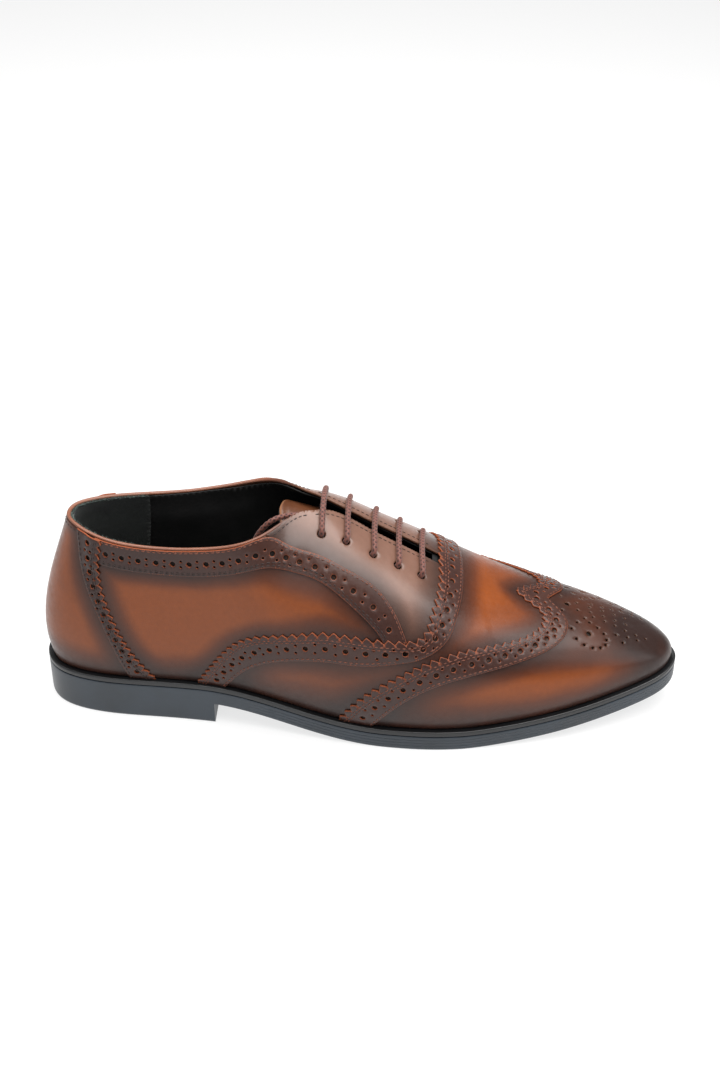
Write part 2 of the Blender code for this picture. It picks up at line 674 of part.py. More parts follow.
def cord(name, points, diameter, mat, spacing):
    """A round cord along a smooth line through its points."""
    points = np.asarray(points, float)
    run = np.r_[0, np.cumsum(np.linalg.norm(np.diff(points, axis=0), axis=1))]
    path = cubic(run, points)(np.linspace(0, run[-1], int(round(run[-1] / spacing)) + 1))
    curve = bpy.data.curves.new(name, "CURVE")
    curve.dimensions = "3D"
    curve.bevel_depth = diameter / 2
    curve.bevel_resolution = 2
    curve.use_fill_caps = True
    spline = curve.splines.new("POLY")
    spline.points.add(len(path) - 1)
    for point, place in zip(spline.points, path):
        point.co = (*place, 1)
    return add(name, curve, mat)


def make_topline_binding():
    """The rolled edge that closes the topline, from one front corner round to the other."""
    end = CORNER - 0.034
    s = np.linspace(-end, end, 61)
    wall = (PANEL_THICKNESS * 2 + GAP + LINING_THICKNESS) / 2
    top = at(s, np.ones_like(s), wall * 0.8)
    lift = unit(slopes(s, np.ones_like(s))[1])
    path = top + lift * (BEAD_DIAMETER / 2 + GAP * 3)
    cord("topline_binding", path, BEAD_DIAMETER, brown_leather, 6 * MM)


# ---------------------------------------------------------------- tongue and lace
LACE_DEPTH = PANEL_THICKNESS + LINING_GAP + LINING_THICKNESS + 2 * GAP + LACE_DIAMETER / 2
TONGUE_DEPTH = LACE_DEPTH + LACE_DIAMETER / 2 + 0.01965 * UPPER_HEIGHT
TONGUE_ROOT = 0.632
TONGUE_TOP = 15 * MM             # how far the tongue stands past the facings' corner
TONGUE_SAG = 0.42                # its free top's slope, as a share of the ridge's
TONGUE_KNEE = 0.490              # behind this station the tongue runs straight on


def instep(s, v, depth):
    """A point over the instep, run straight on along the ridge behind the knee station."""
    s = np.asarray(s, float)
    held = np.sign(s) * np.maximum(np.abs(s), TONGUE_KNEE)
    back = np.where(np.abs(s) < TONGUE_KNEE, (TONGUE_KNEE - np.abs(s)) * AROUND, 0)
    slope = ridge_slope(np.array(0.52))
    direction = unit(np.array([-1.0, 0.0, -slope * TONGUE_SAG]))
    return at(held, v, depth) + back[..., None] * direction


def make_tongue(pivot):
    """The tongue's leather and its lining, sewn at the throat and free at the top."""
    top = TONGUE_KNEE - 0.012 - TONGUE_TOP / AROUND
    rows = np.linspace(TONGUE_ROOT, top, 13)
    share = np.linspace(0, 1, 13)
    half = (0.306 + 0.126 * np.sin(np.pi * share * 0.9)) * TOPLINE_WIDTH / OVER_FACINGS
    for name, depth, wall, mat in (
            ("tongue", TONGUE_DEPTH, TONGUE_THICKNESS, tan_leather),
            ("tongue_lining", TONGUE_DEPTH + TONGUE_THICKNESS + GAP, LINING_THICKNESS, black_lining)):
        across = np.linspace(-1, 1, 9)
        grid = []
        for s, reach in zip(rows, half):
            v = 1 - np.abs(across) * reach
            side = np.where(across <= 0, 1, -1)
            line = instep(side * s, np.minimum(v, 0.998), depth + wall)
            line[4, 1] = 0
            grid.append(line)
        grid = np.array(grid)
        faces = [(r * 9 + c, (r + 1) * 9 + c, (r + 1) * 9 + c + 1, r * 9 + c + 1)
                 for r in range(12) for c in range(8)]
        faces = [face[::-1] for face in faces]
        data = mesh(name, grid.reshape(-1, 3), faces, pivot.location)
        thicken(add(name, data, mat, pivot), wall)


def lace_bar(row, first):
    """One bar of the lace: up through an eyelet, over the facings and down the other side."""
    s, v = EYELETS[row]
    over = -LACE_DIAMETER / 2 - GAP * 1.5
    half = [(v, LACE_DEPTH), (v, LACE_DEPTH * 0.5), (v, 0.0), (v + 0.006, over * 0.72),
            (v + 0.022, over), (v + 0.07, over), (1.0 - 0.02, over)]
    near = [at(np.array(first * s), np.array(u), d) for u, d in half]
    far = [at(np.array(-first * s), np.array(u), d) for u, d in half[::-1]]
    return near + far


def lace_run(side, start, stop, shift):
    """The lace behind the facings, from one eyelet to another, passing beside those between."""
    a, b = EYELETS[start], EYELETS[stop]
    count = 2 * abs(stop - start) + 1
    points = []
    for k in range(1, count):
        t = k / count
        s = a[0] + (b[0] - a[0]) * t
        v = a[1] + (b[1] - a[1]) * t + shift * np.sin(np.pi * min(1, 2.2 * min(t, 1 - t) + 0.1) / 2)
        points.append(at(np.array(side * s), np.array(v), LACE_DEPTH))
    return points


def make_lace():
    """One lace in straight bars, its two ends tucked inside."""
    aside = 5 * MM / OVER_FACINGS
    tail = [(0.502, 7.1), (0.480, 5.0), (0.458, 5.9), (0.438, 8.9), (0.424, 12.4)]
    first_end = [instep(np.array(s), np.array(1 - down * MM / OVER_FACINGS), LACE_DEPTH + GAP / 2)
                 for s, down in tail]
    hang = np.array([(-6, -1, -5), (-10, -1, -13), (-12, -1, -23)]) * MM
    first_end += [first_end[-1] + step for step in hang]
    points = first_end[::-1]
    points += lace_bar(3, 1)
    points += lace_run(-1, 3, 1, -aside)
    points += lace_bar(1, -1)
    points += lace_run(1, 1, 0, 0)
    points += lace_bar(0, 1)
    points += lace_run(-1, 0, 2, aside)
    points += lace_bar(2, -1)
    points += lace_run(1, 2, 4, -aside)
    points += lace_bar(4, 1)
    tuck = [(0.478, 0.790, 1.5), (0.470, 0.730, 3.0), (0.462, 0.670, 5.0), (0.455, 0.610, 8.0)]
    points += [at(np.array(-s), np.array(v), LACE_DEPTH + more * MM) for s, v, more in tuck]
    cord("lace", points, LACE_DIAMETER, lace_brown, 3.2 * MM)
    ends = ("aglet_inner", points[0], points[1]), ("aglet_outer", points[-1], points[-2])
    for name, end, neighbour in ends:
        away = unit(end - neighbour)
        tip = [end + away * (GAP + AGLET_LENGTH * t) for t in (0.0, 1.0)]
        cord(name, tip, AGLET_DIAMETER, brown_plastic, AGLET_LENGTH)


# ---------------------------------------------------------------- build
for old in list(bpy.data.objects):
    bpy.data.objects.remove(old, do_unlink=True)
shoe = collection("oxford_shoe")
tools = collection("cutters")

tan_leather = material("tan_leather", (0.32, 0.13, 0.055), 0.35)
brown_leather = material("brown_leather", (0.17, 0.085, 0.06), 0.38)
dark_leather = material("dark_leather", (0.10, 0.045, 0.03), 0.42)
black_rubber = material("black_rubber", (0.02, 0.022, 0.026), 0.45)
black_lining = material("black_lining", (0.012, 0.012, 0.012), 0.75)
black_suede = material("black_suede", (0.02, 0.024, 0.022), 0.95)
lace_brown = material("lace_brown", (0.20, 0.075, 0.045), 0.8)
brown_plastic = material("brown_plastic", (0.10, 0.04, 0.025), 0.3)
board_brown = material("board_brown", (0.42, 0.30, 0.18), 0.85)
cork = material("cork", (0.45, 0.30, 0.17), 0.9)
steel = material("steel", (0.55, 0.56, 0.58), 0.35, 1.0)

make_sole()
make_bottom_stock()
make_panels()
make_strips()
make_linings()
make_stiffeners()
make_topline_binding()

throat = at(np.array(TONGUE_ROOT), np.array(1.0), TONGUE_DEPTH + TONGUE_THICKNESS / 2)
tongue_hinge = bpy.data.objects.new("tongue_hinge", None)
tongue_hinge.location = throat
shoe.objects.link(tongue_hinge)
make_tongue(tongue_hinge)
make_lace()
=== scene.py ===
import bmesh
import bpy
import numpy as np
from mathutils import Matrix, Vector
from mathutils.geometry import delaunay_2d_cdt


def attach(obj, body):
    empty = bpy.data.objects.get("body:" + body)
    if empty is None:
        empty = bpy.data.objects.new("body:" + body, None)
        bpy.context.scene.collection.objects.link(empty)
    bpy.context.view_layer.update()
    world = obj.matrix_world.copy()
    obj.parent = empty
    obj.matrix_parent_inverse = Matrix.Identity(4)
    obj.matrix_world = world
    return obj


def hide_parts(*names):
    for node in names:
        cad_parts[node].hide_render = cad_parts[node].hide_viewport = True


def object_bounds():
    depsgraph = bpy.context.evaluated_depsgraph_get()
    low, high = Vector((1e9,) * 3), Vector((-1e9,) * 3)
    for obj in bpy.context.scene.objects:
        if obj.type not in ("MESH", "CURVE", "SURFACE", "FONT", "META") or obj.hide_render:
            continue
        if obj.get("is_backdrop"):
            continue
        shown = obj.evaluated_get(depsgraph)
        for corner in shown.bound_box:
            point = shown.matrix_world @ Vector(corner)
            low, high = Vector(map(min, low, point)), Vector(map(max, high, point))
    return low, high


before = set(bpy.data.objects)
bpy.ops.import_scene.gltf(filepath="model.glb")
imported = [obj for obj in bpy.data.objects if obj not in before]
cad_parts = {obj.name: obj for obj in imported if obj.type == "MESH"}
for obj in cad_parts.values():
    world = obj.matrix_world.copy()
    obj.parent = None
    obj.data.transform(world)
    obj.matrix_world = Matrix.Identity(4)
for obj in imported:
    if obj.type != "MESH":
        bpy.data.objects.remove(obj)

cad_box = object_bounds()
MM = 0.001

# ---------------------------------------------------------------- studio
# A pale sweep of paper under one broad soft light overhead, with two weak ones in front and at
# the toe and a dim room all round, so that burnished leather shows long soft highlights.
lens = bpy.data.cameras.new("camera")
lens.lens = 50
camera = bpy.data.objects.new("camera", lens)
camera.location = (0.1289, -0.5755, 0.4597)
camera.rotation_euler = (np.radians(56.87), 0, np.radians(2))
bpy.context.scene.collection.objects.link(camera)
bpy.context.scene.camera = camera
bpy.context.scene.view_settings.view_transform = "Standard"

for name, place, aim, size, power, tint in (
        ("soft box above", (0.20, 0.05, 1.0), (0.15, 0.0, 0.0), (1.6, 1.1), 29.0, (1.0, 0.99, 0.97)),
        ("soft box in front", (-0.35, -1.0, 0.55), (0.08, 0.0, 0.05), (0.8, 0.6), 2.2, (0.95, 0.98, 1.0)),
        ("soft box at the toe", (1.0, -0.35, 0.45), (0.15, 0.0, 0.05), (0.5, 0.6), 2.0, (1.0, 1.0, 1.0))):
    light = bpy.data.lights.new(name, "AREA")
    light.shape = "RECTANGLE"
    light.size, light.size_y = size
    light.energy = power
    light.color = tint
    lamp = bpy.data.objects.new(name, light)
    lamp.location = place
    lamp.rotation_euler = (Vector(aim) - Vector(place)).to_track_quat("-Z", "Y").to_euler()
    bpy.context.scene.collection.objects.link(lamp)

room = bpy.data.worlds.new("room")
room.use_nodes = True
room.node_tree.nodes["Background"].inputs["Color"].default_value = (0.93, 0.96, 1.0, 1)
room.node_tree.nodes["Background"].inputs["Strength"].default_value = 0.2
bpy.context.scene.world = room

paper = bpy.data.materials.new("paper")
paper.use_nodes = True
for label, value in (("Base Color", (0.25, 0.25, 0.25, 1)), ("Roughness", 0.85),
                     ("Emission Color", (1, 1, 1, 1)), ("Emission Strength", 0.75)):
    paper.node_tree.nodes["Principled BSDF"].inputs[label].default_value = value
FLOOR_REACH = 15
sheet = bpy.data.meshes.new("floor")
corners = [(x * FLOOR_REACH, y * FLOOR_REACH, 0) for x, y in ((-1, -1), (1, -1), (1, 1), (-1, 1))]
sheet.from_pydata(corners, [], [(0, 1, 2, 3)])
floor = bpy.data.objects.new("floor", sheet)
floor.data.materials.append(paper)
floor.location.z = -0.0002
bpy.context.scene.collection.objects.link(floor)
floor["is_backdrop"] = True

# ---------------------------------------------------------------- the last
# The wooden form that the shoe is made on. Its surface has two coordinates: s runs round the
# shoe from the heel (0) along the outer side (+1) and the inner side (-1) to the toe, and v up
# from the sole (0) to the topline or the ridge over the instep (1).
LENGTH = 301 * MM
BALL_WIDTH = 95.2 * MM
UPPER_HEIGHT = 91.6 * MM
TOPLINE_WIDTH = 56 * MM
SOLE_THICKNESS = 10 * MM
HEEL_HEIGHT = 11 * MM
TOE_SPRING = 13 * MM
HEEL_LENGTH = 83 * MM
HEEL_CENTRE = HEEL_LENGTH / 2
SHELF = 2.7 * MM
GAP = 0.3 * MM
RIDGE_START = 0.5
SCALE = np.array([1.13 * LENGTH, 1.07 * UPPER_HEIGHT])     # metres of upper for one unit of s, v
OVER_FACINGS = 1.29 * UPPER_HEIGHT                        # and for one unit of v over the facings

OUTLINE = (                      # station; shares of length, half width outer and inner
    (0.00, 0.000, 0.000, 0.000),
    (0.06, 0.020, 0.326, 0.326),
    (0.13, 0.083, 0.525, 0.532),
    (0.23, 0.193, 0.605, 0.630),
    (0.33, 0.306, 0.691, 0.620),
    (0.41, 0.390, 0.803, 0.637),
    (0.475, 0.463, 0.903, 0.746),
    (0.545, 0.545, 0.981, 0.887),
    (0.62, 0.631, 1.000, 0.992),
    (0.70, 0.726, 0.914, 0.977),
    (0.78, 0.819, 0.770, 0.830),
    (0.85, 0.894, 0.592, 0.636),
    (0.91, 0.950, 0.420, 0.445),
    (0.96, 0.986, 0.236, 0.245),
    (1.00, 1.000, 0.000, 0.000),
)
CREST = (                        # station; length, half opening, height; dip and bearing there
    (0.00, 0.055, 0.000, 0.821, 72, 180),
    (0.06, 0.066, 0.304, 0.820, 74, 140),
    (0.13, 0.113, 0.664, 0.797, 80, 112),
    (0.23, 0.206, 0.893, 0.784, 84, 97),
    (0.33, 0.299, 1.000, 0.826, 80, 92),
    (0.41, 0.372, 0.804, 0.930, 55, 90),
    (0.475, 0.435, 0.143, 1.000, 12, 90),
    (0.545, 0.512, 0.000, 0.907, 0, 90),
    (0.62, 0.598, 0.000, 0.752, 0, 90),
    (0.70, 0.684, 0.000, 0.588, 0, 89),
    (0.78, 0.764, 0.000, 0.464, 0, 88),
    (0.85, 0.831, 0.000, 0.380, 0, 78),
    (0.91, 0.880, 0.000, 0.306, 0, 56),
    (0.96, 0.907, 0.000, 0.258, 0, 27),
    (1.00, 0.917, 0.000, 0.238, 0, 0),
)
FULLNESS = (                     # station; lean at the sole, pull of the section's two ends
    (0.00, 16, 0.34, 0.33),
    (0.20, 15, 0.34, 0.33),
    (0.35, 14, 0.35, 0.34),
    (0.475, 17, 0.37, 0.40),
    (0.62, 20, 0.38, 0.50),
    (0.78, 20, 0.36, 0.56),
    (1.00, 18, 0.34, 0.50),
)


def cubic(knots, values, closed=False):
    """A cubic spline through the values; closed ones repeat their first value at the end."""
    t = np.asarray(knots, float)
    y = np.asarray(values, float)
    y = y.reshape(len(t), -1)
    step = np.diff(t)
    rise = np.diff(y, axis=0) / step[:, None]
    n = len(t) - 1
    rows = n if closed else n + 1
    a = np.zeros((rows, rows)) if closed else np.eye(rows)
    r = np.zeros((rows, y.shape[1]))
    for i in range(0 if closed else 1, n):
        before = (i - 1) % n
        a[i, i] = 2 * (step[before] + step[i])
        a[i, before] += step[before]
        a[i, (i + 1) % rows] += step[i]
        r[i] = 6 * (rise[i] - rise[before])
    bend = np.linalg.solve(a, r)
    if closed:
        bend = np.vstack([bend, bend[:1]])

    def value(x):
        x = np.asarray(x, float)
        if closed:
            x = (x - t[0]) % (t[-1] - t[0]) + t[0]
        i = np.clip(np.searchsorted(t, x, side="right") - 1, 0, n - 1)
        h = step[i][..., None]
        p = (t[i + 1] - x)[..., None] / h
        q = 1 - p
        out = p * y[i] + q * y[i + 1] + ((p**3 - p) * bend[i] + (q**3 - q) * bend[i + 1]) * h * h / 6
        return out[..., 0] if out.shape[-1] == 1 else out
    return value


def round_the_shoe(rows, column, other=None, sign=1):
    """A closed spline in s from a table that gives the two sides alike, or in two columns."""
    lateral = [(row[0], row[column]) for row in rows]
    medial = [(-row[0], sign * row[other or column]) for row in rows[:0:-1]]
    both = medial + lateral
    return cubic([p[0] for p in both], [p[1] for p in both], closed=True)


outline_x = round_the_shoe(OUTLINE, 1)
outline_y = round_the_shoe([(r[0], r[1], -r[2], r[3]) for r in OUTLINE], 2, 3)
crest_x = round_the_shoe(CREST, 1)
crest_y = round_the_shoe([(r[0], r[1], -r[2]) for r in CREST], 2, 2, -1)
crest_z = round_the_shoe(CREST, 3)
crest_dip = round_the_shoe(CREST, 4)
crest_bearing = cubic([r[0] for r in CREST], [r[5] for r in CREST])
lean = round_the_shoe(FULLNESS, 1)
pull_low = round_the_shoe(FULLNESS, 2)
pull_high = round_the_shoe(FULLNESS, 3)


def smooth(x, low, high):
    """0 below low, 1 above high, and an even curve between them."""
    t = np.clip((np.asarray(x, float) - low) / (high - low), 0, 1)
    return t * t * (3 - 2 * t)


def unit(a):
    return a / np.linalg.norm(a, axis=-1, keepdims=True)


def tread(x):
    """Height of the sole's underside: up at the heel and the toe, flat under the ball."""
    share = (x + HEEL_CENTRE) / LENGTH
    toe = np.clip((share - 0.66) / 0.34, 0, 1.1) ** 1.4
    return HEEL_HEIGHT * smooth(-share, -0.54, -0.25) + TOE_SPRING * toe


def seat(x):
    """Height of the welt's top, where the upper stands."""
    return tread(x) + SOLE_THICKNESS


def edge(s, inset=0.0):
    """A point in plan on the sole's edge, moved inwards, and the outward direction there."""
    def plan(s):
        return np.stack([outline_x(s) * LENGTH - HEEL_CENTRE, outline_y(s) * BALL_WIDTH / 2], -1)
    along = unit(plan(s + 1e-3) - plan(s - 1e-3))
    out = np.stack([along[..., 1], -along[..., 0]], -1)
    return plan(s) - out * np.asarray(inset)[..., None], out


def crest(s):
    x = crest_x(s) * LENGTH - HEEL_CENTRE
    y = crest_y(s) * TOPLINE_WIDTH / 2
    return np.stack([x, y, seat(x) + crest_z(s) * UPPER_HEIGHT], -1)


def ridge_slope(s):
    """Rise of the ridge for a step towards the toe."""
    station = np.clip(np.abs(s), RIDGE_START, 0.97)
    ahead = crest(station + 0.01) - crest(station - 0.01)
    return ahead[..., 2] / ahead[..., 0]


def outer(s, v):
    """The outside of the leather panels: one cubic section for each s."""
    s = (np.asarray(s, float) + 1) % 2 - 1
    v = np.asarray(v, float)[..., None]
    side = np.where(s >= 0, -1.0, 1.0)
    foot, out = edge(s, SHELF)
    low = np.concatenate([foot, (seat(foot[..., 0]) + GAP)[..., None]], -1)
    high = crest(s)
    tilt = np.radians(lean(s))
    rise = np.stack([out[..., 0] * np.sin(tilt), out[..., 1] * np.sin(tilt), np.cos(tilt)], -1)
    bearing = np.radians(crest_bearing(np.abs(s)))
    dip = np.radians(np.clip(crest_dip(s), 0, 90))
    down = np.where(np.abs(s) > 0.7, ridge_slope(s) * np.cos(bearing), -np.sin(dip))
    fall = [np.cos(bearing) * np.cos(dip), side * np.sin(bearing) * np.cos(dip), down]
    chord = np.linalg.norm(high - low, axis=-1)
    a = low + rise * (pull_low(s) * chord)[..., None]
    b = high + unit(np.stack(fall, -1)) * (pull_high(s) * chord)[..., None]
    return (1 - v)**3 * low + 3 * (1 - v)**2 * v * a + 3 * (1 - v) * v * v * b + v**3 * high


def slopes(s, v):
    """The surface's two tangents, per unit of s and of v."""
    v = np.clip(v, 0.002, 0.995)
    e = 1e-3
    return (outer(s + e, v) - outer(s - e, v)) / (2 * e), (outer(s, v + e) - outer(s, v - e)) / (2 * e)


def normal(s, v):
    """Outward direction; on the ridge it has no sideways part, so that the two halves meet."""
    s = np.asarray(s, float)
    v = np.asarray(v, float)
    n = unit(np.cross(*slopes(s, v)))
    other = unit(np.cross(*slopes(-s, v)))
    other[..., 1] *= -1
    ridge = ((v > 0.999) & (np.abs(s) > RIDGE_START))[..., None]
    n = np.where(ridge, n + other, n)
    n[..., 1] = np.where(ridge[..., 0], 0, n[..., 1])
    return unit(n)


def at(s, v, depth=0.0):
    """A point of the upper, a depth below the outside of the panels (above it if negative)."""
    s = np.asarray(s, float)
    v = np.asarray(v, float)
    depth = np.broadcast_to(np.asarray(depth, float), s.shape)
    p = outer(s, v) - normal(s, v) * depth[..., None]
    ridge = (v > 0.999) & (np.abs(s) > RIDGE_START)
    p[..., 1] = np.where(ridge & (np.abs(s) > 0.53), 0, p[..., 1])
    return p


# ---------------------------------------------------------------- leather, as a sheet
# Cut leather: a region of the last at its own depth, with a grain side, a flesh side and a
# raw edge all round and in every punched hole. The grain side rolls over at each edge.
def walk(points, step):
    """Points at an even spacing along a smooth line through (s, v) points."""
    points = np.asarray(points, float)
    run = np.r_[0, np.cumsum(np.linalg.norm(np.diff(points, axis=0) * SCALE, axis=1))]
    count = max(int(round(run[-1] / step)), 1)
    if len(points) == 2:
        return points[0] + (points[1] - points[0]) * np.linspace(0, 1, count + 1)[:, None]
    return cubic(run, points)(np.linspace(0, run[-1], count + 1))


def beside(line, offset):
    """The line moved sideways, to its left as it is walked if the offset is positive."""
    along = unit(np.gradient(line * SCALE, axis=0))
    return line + np.stack([-along[:, 1], along[:, 0]], 1) * offset / SCALE


def loop(*lines):
    """One closed outline from lines that follow each other end to end, counterclockwise."""
    points = np.vstack([line[:-1] for line in lines])
    x, y = (points * SCALE).T
    area = np.dot(x, np.roll(y, -1)) - np.dot(y, np.roll(x, -1))
    return points if area > 0 else points[::-1]


def inside(points, outline):
    """Which points lie within a closed outline."""
    x, y = points[:, 0, None], points[:, 1, None]
    ax, ay = outline[None, :, 0], outline[None, :, 1]
    bx, by = np.roll(outline, -1, 0)[None, :, 0], np.roll(outline, -1, 0)[None, :, 1]
    crosses = (ay > y) != (by > y)
    cut = ax + (y - ay) * (bx - ax) / np.where(by == ay, 1, by - ay)
    return (crosses & (x < cut)).sum(1) % 2 == 1


def distance(points, lines):
    """Distance from each point to the nearest of some line pieces, given as pairs of ends."""
    out = np.full(len(points), 1.0)
    for start in range(0, len(lines), 64):
        some = lines[start:start + 64]
        a, d = some[None, :, 0], (some[:, 1] - some[:, 0])[None]
        t = np.clip(((points[:, None] - a) * d).sum(2) / np.maximum((d * d).sum(2), 1e-15), 0, 1)
        out = np.minimum(out, np.linalg.norm(points[:, None] - a - d * t[..., None], axis=2).min(1))
    return out


def closed_pairs(ring):
    """The pieces of a closed line, each as its two ends."""
    return np.stack([ring, np.roll(ring, -1, 0)], 1)


def punched(centre, radius, sides=12):
    """A round hole of a real radius in the leather, as an outline in (s, v)."""
    centre = np.asarray(centre, float)
    along, up = (slope[0] for slope in slopes(centre[:1], centre[1:]))
    ahead = unit(along)
    aside = unit(up - ahead * np.dot(up, ahead))
    turn = np.linspace(0, 2 * np.pi, sides, endpoint=False)[:, None]
    circle = radius * (np.cos(turn) * ahead + np.sin(turn) * aside)
    return centre + circle @ np.linalg.pinv(np.stack([along, up]))


def on_seam(flat):
    """Points on the ridge or at the toe tip, where the two halves of a piece are one."""
    s = np.abs(flat[:, 0])
    return ((flat[:, 1] > 0.9999) & (s > RIDGE_START)) | (s > 0.9999)


def sheet_region(outline, holes, cell, roll):
    """Flat points and triangles over one outline, closer together at its edges."""
    ring = outline * SCALE
    cuts = [hole * SCALE for hole in holes]
    sewn = on_seam(outline)
    pairs = closed_pairs(ring)
    free = pairs[~(sewn & np.roll(sewn, -1))]
    rims = [closed_pairs(cut) for cut in cuts]
    edges = np.concatenate([free] + rims)
    everything = np.concatenate([pairs] + rims)
    low, high = ring.min(0), ring.max(0)
    columns = np.arange(low[0] + cell * 0.5, high[0], cell)
    rows = np.arange(low[1] + cell * 0.4, high[1], cell * 0.87)
    x, y = np.meshgrid(columns, rows)
    x[1::2] += cell / 2
    grid = np.stack([x.ravel(), y.ravel()], 1)
    grid = grid[inside(grid, ring)]
    grid = grid[distance(grid, everything) > max(roll * 1.5, cell * 0.5)]
    bands = []
    for share in (0.45, 1.0):
        for pair in [free] + rims:
            side = unit(pair[:, 1] - pair[:, 0])
            inward = np.stack([-side[:, 1], side[:, 0]], 1)
            if pair is not free:
                inward = -inward
            middle = pair.mean(1) + inward * roll * share
            keep = inside(middle, ring) & (distance(middle, everything) > roll * share * 0.93)
            bands.append(middle[keep])
    for cut in cuts:
        grid = grid[~inside(grid, cut)]
        bands = [band[~inside(band, cut)] for band in bands]
    pole = outline[(np.abs(outline) > 0.9999).all(1)] * SCALE
    points = np.vstack([ring] + cuts + [grid] + bands + [pole - np.sign(pole) * 0.4 * cell])
    constraints, start = [], 0
    for one in [ring] + cuts:
        constraints += [(start + i, start + (i + 1) % len(one)) for i in range(len(one))]
        start += len(one)
    whole = [list(range(len(ring)))]
    flat, _, faces, *_ = delaunay_2d_cdt([Vector(p) for p in points], constraints, whole, 1, 1e-7)
    flat = np.array([tuple(p) for p in flat])
    faces = np.array(faces)
    middle = flat[faces].mean(1)
    for cut in cuts:
        faces = faces[~inside(middle, cut)]
        middle = flat[faces].mean(1)
    return flat / SCALE, faces, distance(flat, edges)


def make_piece(name, points, faces, finish, turn_out=True, crease=None):
    """A smooth mesh in one finish: turned outwards, and creased at angles over the given one."""
    data = bpy.data.meshes.new(name)
    data.from_pydata(np.asarray(points).tolist(), [], [tuple(int(i) for i in face) for face in faces])
    if turn_out:
        bm = bmesh.new()
        bm.from_mesh(data)
        bmesh.ops.recalc_face_normals(bm, faces=bm.faces)
        bm.to_mesh(data)
        bm.free()
    data.shade_smooth()
    if crease:
        data.set_sharp_from_angle(angle=crease)
    obj = bpy.data.objects.new(name, data)
    bpy.context.scene.collection.objects.link(obj)
    data.materials.append(finish)
    return obj


def paint(data, name, values):
    """One value for each point, which the finishes read by name."""
    layer = data.attributes.new(name, "FLOAT", "POINT")
    layer.data.foreach_set("value", np.asarray(values, np.float32))


def leather(name, outlines, depth, wall, finish, holes=(), cell=1.8 * MM, roll=0.45 * MM, dye_and_shade=None):
    """A cut piece of leather over its outlines, with its edge distance, its dye and its painted shade
    painted on.
    """
    flats, tris, rims, count = [], [], [], 0
    for outline in outlines:
        middle = [inside(hole.mean(0)[None] * SCALE, outline * SCALE)[0] for hole in holes]
        cut = [hole for hole, within in zip(holes, middle) if within]
        flat, faces, rim = sheet_region(outline, cut, cell, roll)
        flats.append(flat)
        tris.append(faces + count)
        rims.append(rim)
        count += len(flat)
    flat, tris, rim = np.vstack(flats), np.vstack(tris), np.concatenate(rims)
    below = depth(flat[:, 0], flat[:, 1]) if callable(depth) else np.full(len(flat), float(depth))
    drop = roll * 0.8 * (1 - np.sqrt(np.clip(1 - (1 - np.clip(rim / roll, 0, 1))**2, 0, 1)))
    grain = at(flat[:, 0], flat[:, 1], below + drop)
    flesh = at(flat[:, 0], flat[:, 1], below + wall)
    alone = np.arange(len(flat))[:, None] + 1e7
    key = np.where(on_seam(flat)[:, None], np.round(grain / (0.02 * MM)), alone)
    _, first, index = np.unique(key, axis=0, return_index=True, return_inverse=True)
    tris = index.reshape(-1)[tris]
    tris = tris[(tris[:, 0] != tris[:, 1]) & (tris[:, 1] != tris[:, 2]) & (tris[:, 0] != tris[:, 2])]
    grain, flesh, flat, rim = grain[first], flesh[first], flat[first], rim[first]
    ends = np.concatenate([tris[:, [0, 1]], tris[:, [1, 2]], tris[:, [2, 0]]])
    both_ways = set(map(tuple, ends.tolist()))
    border = [(a, b) for a, b in ends.tolist() if (b, a) not in both_ways]
    n = len(grain)
    faces = tris.tolist() + (tris[:, ::-1] + n).tolist()
    for a, b in border:
        faces.append((b, a, a + n, b + n))
    piece = make_piece(name, np.vstack([grain, flesh]), faces, finish, turn_out=False)
    raw = np.clip(1 - rim / (0.35 * roll), 0, 1)
    paint(piece.data, "raw_edge", np.r_[raw, np.where(rim < 1e-6, 1, 0.6)])
    shade = np.zeros(n) if dye_and_shade is None else dye_and_shade(flat)
    paint(piece.data, "dye_and_shade", np.r_[shade, shade])
    return piece


def fit(obj, body, slot, *nodes):
    """A finished piece rides on its body and stands for its CAD nodes; its slot is not used."""
    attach(obj, body)
    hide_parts(*nodes)
    return obj


def shader_tree(name):
    """A new finish with its node tree and its shader."""
    mat = bpy.data.materials.new(name)
    mat.use_nodes = True
    tree = mat.node_tree
    return mat, tree, tree.nodes["Principled BSDF"]


def node(tree, kind, *links, **values):
    """One node: links are (socket name or index, source socket) pairs, values are its settings."""
    made = tree.nodes.new(kind)
    for key, value in values.items():
        if hasattr(made, key):
            setattr(made, key, value)
        else:
            made.inputs[key.replace("_", " ")].default_value = value
    for socket, source in links:
        if isinstance(source, (int, float, tuple)):
            made.inputs[socket].default_value = source
        else:
            tree.links.new(source, made.inputs[socket])
    return made


def group(name, inputs, outputs):
    """An empty shader node group with named sockets: a letter gives each one's kind."""
    kinds = {"f": "NodeSocketFloat", "c": "NodeSocketColor", "v": "NodeSocketVector"}
    tree = bpy.data.node_groups.new(name, "ShaderNodeTree")
    for label, kind, value in inputs:
        socket = tree.interface.new_socket(name=label, in_out="INPUT", socket_type=kinds[kind])
        if value is not None:
            socket.default_value = value
    for label, kind in outputs:
        tree.interface.new_socket(name=label, in_out="OUTPUT", socket_type=kinds[kind])
    return tree, tree.nodes.new("NodeGroupInput"), tree.nodes.new("NodeGroupOutput")


def use(tree, shared, *links):
    made = node(tree, "ShaderNodeGroup", node_tree=shared)
    for socket, source in links:
        if isinstance(source, (int, float, tuple)):
            made.inputs[socket].default_value = source
        else:
            tree.links.new(source, made.inputs[socket])
    return made


def stops(ramp, *colours):
    """Set a colour ramp's stops from (position, colour) pairs."""
    band = ramp.color_ramp
    while len(band.elements) < len(colours):
        band.elements.new(0.5)
    for element, (place, colour) in zip(band.elements, colours):
        element.position = place
        element.color = (*colour, 1)
    return ramp


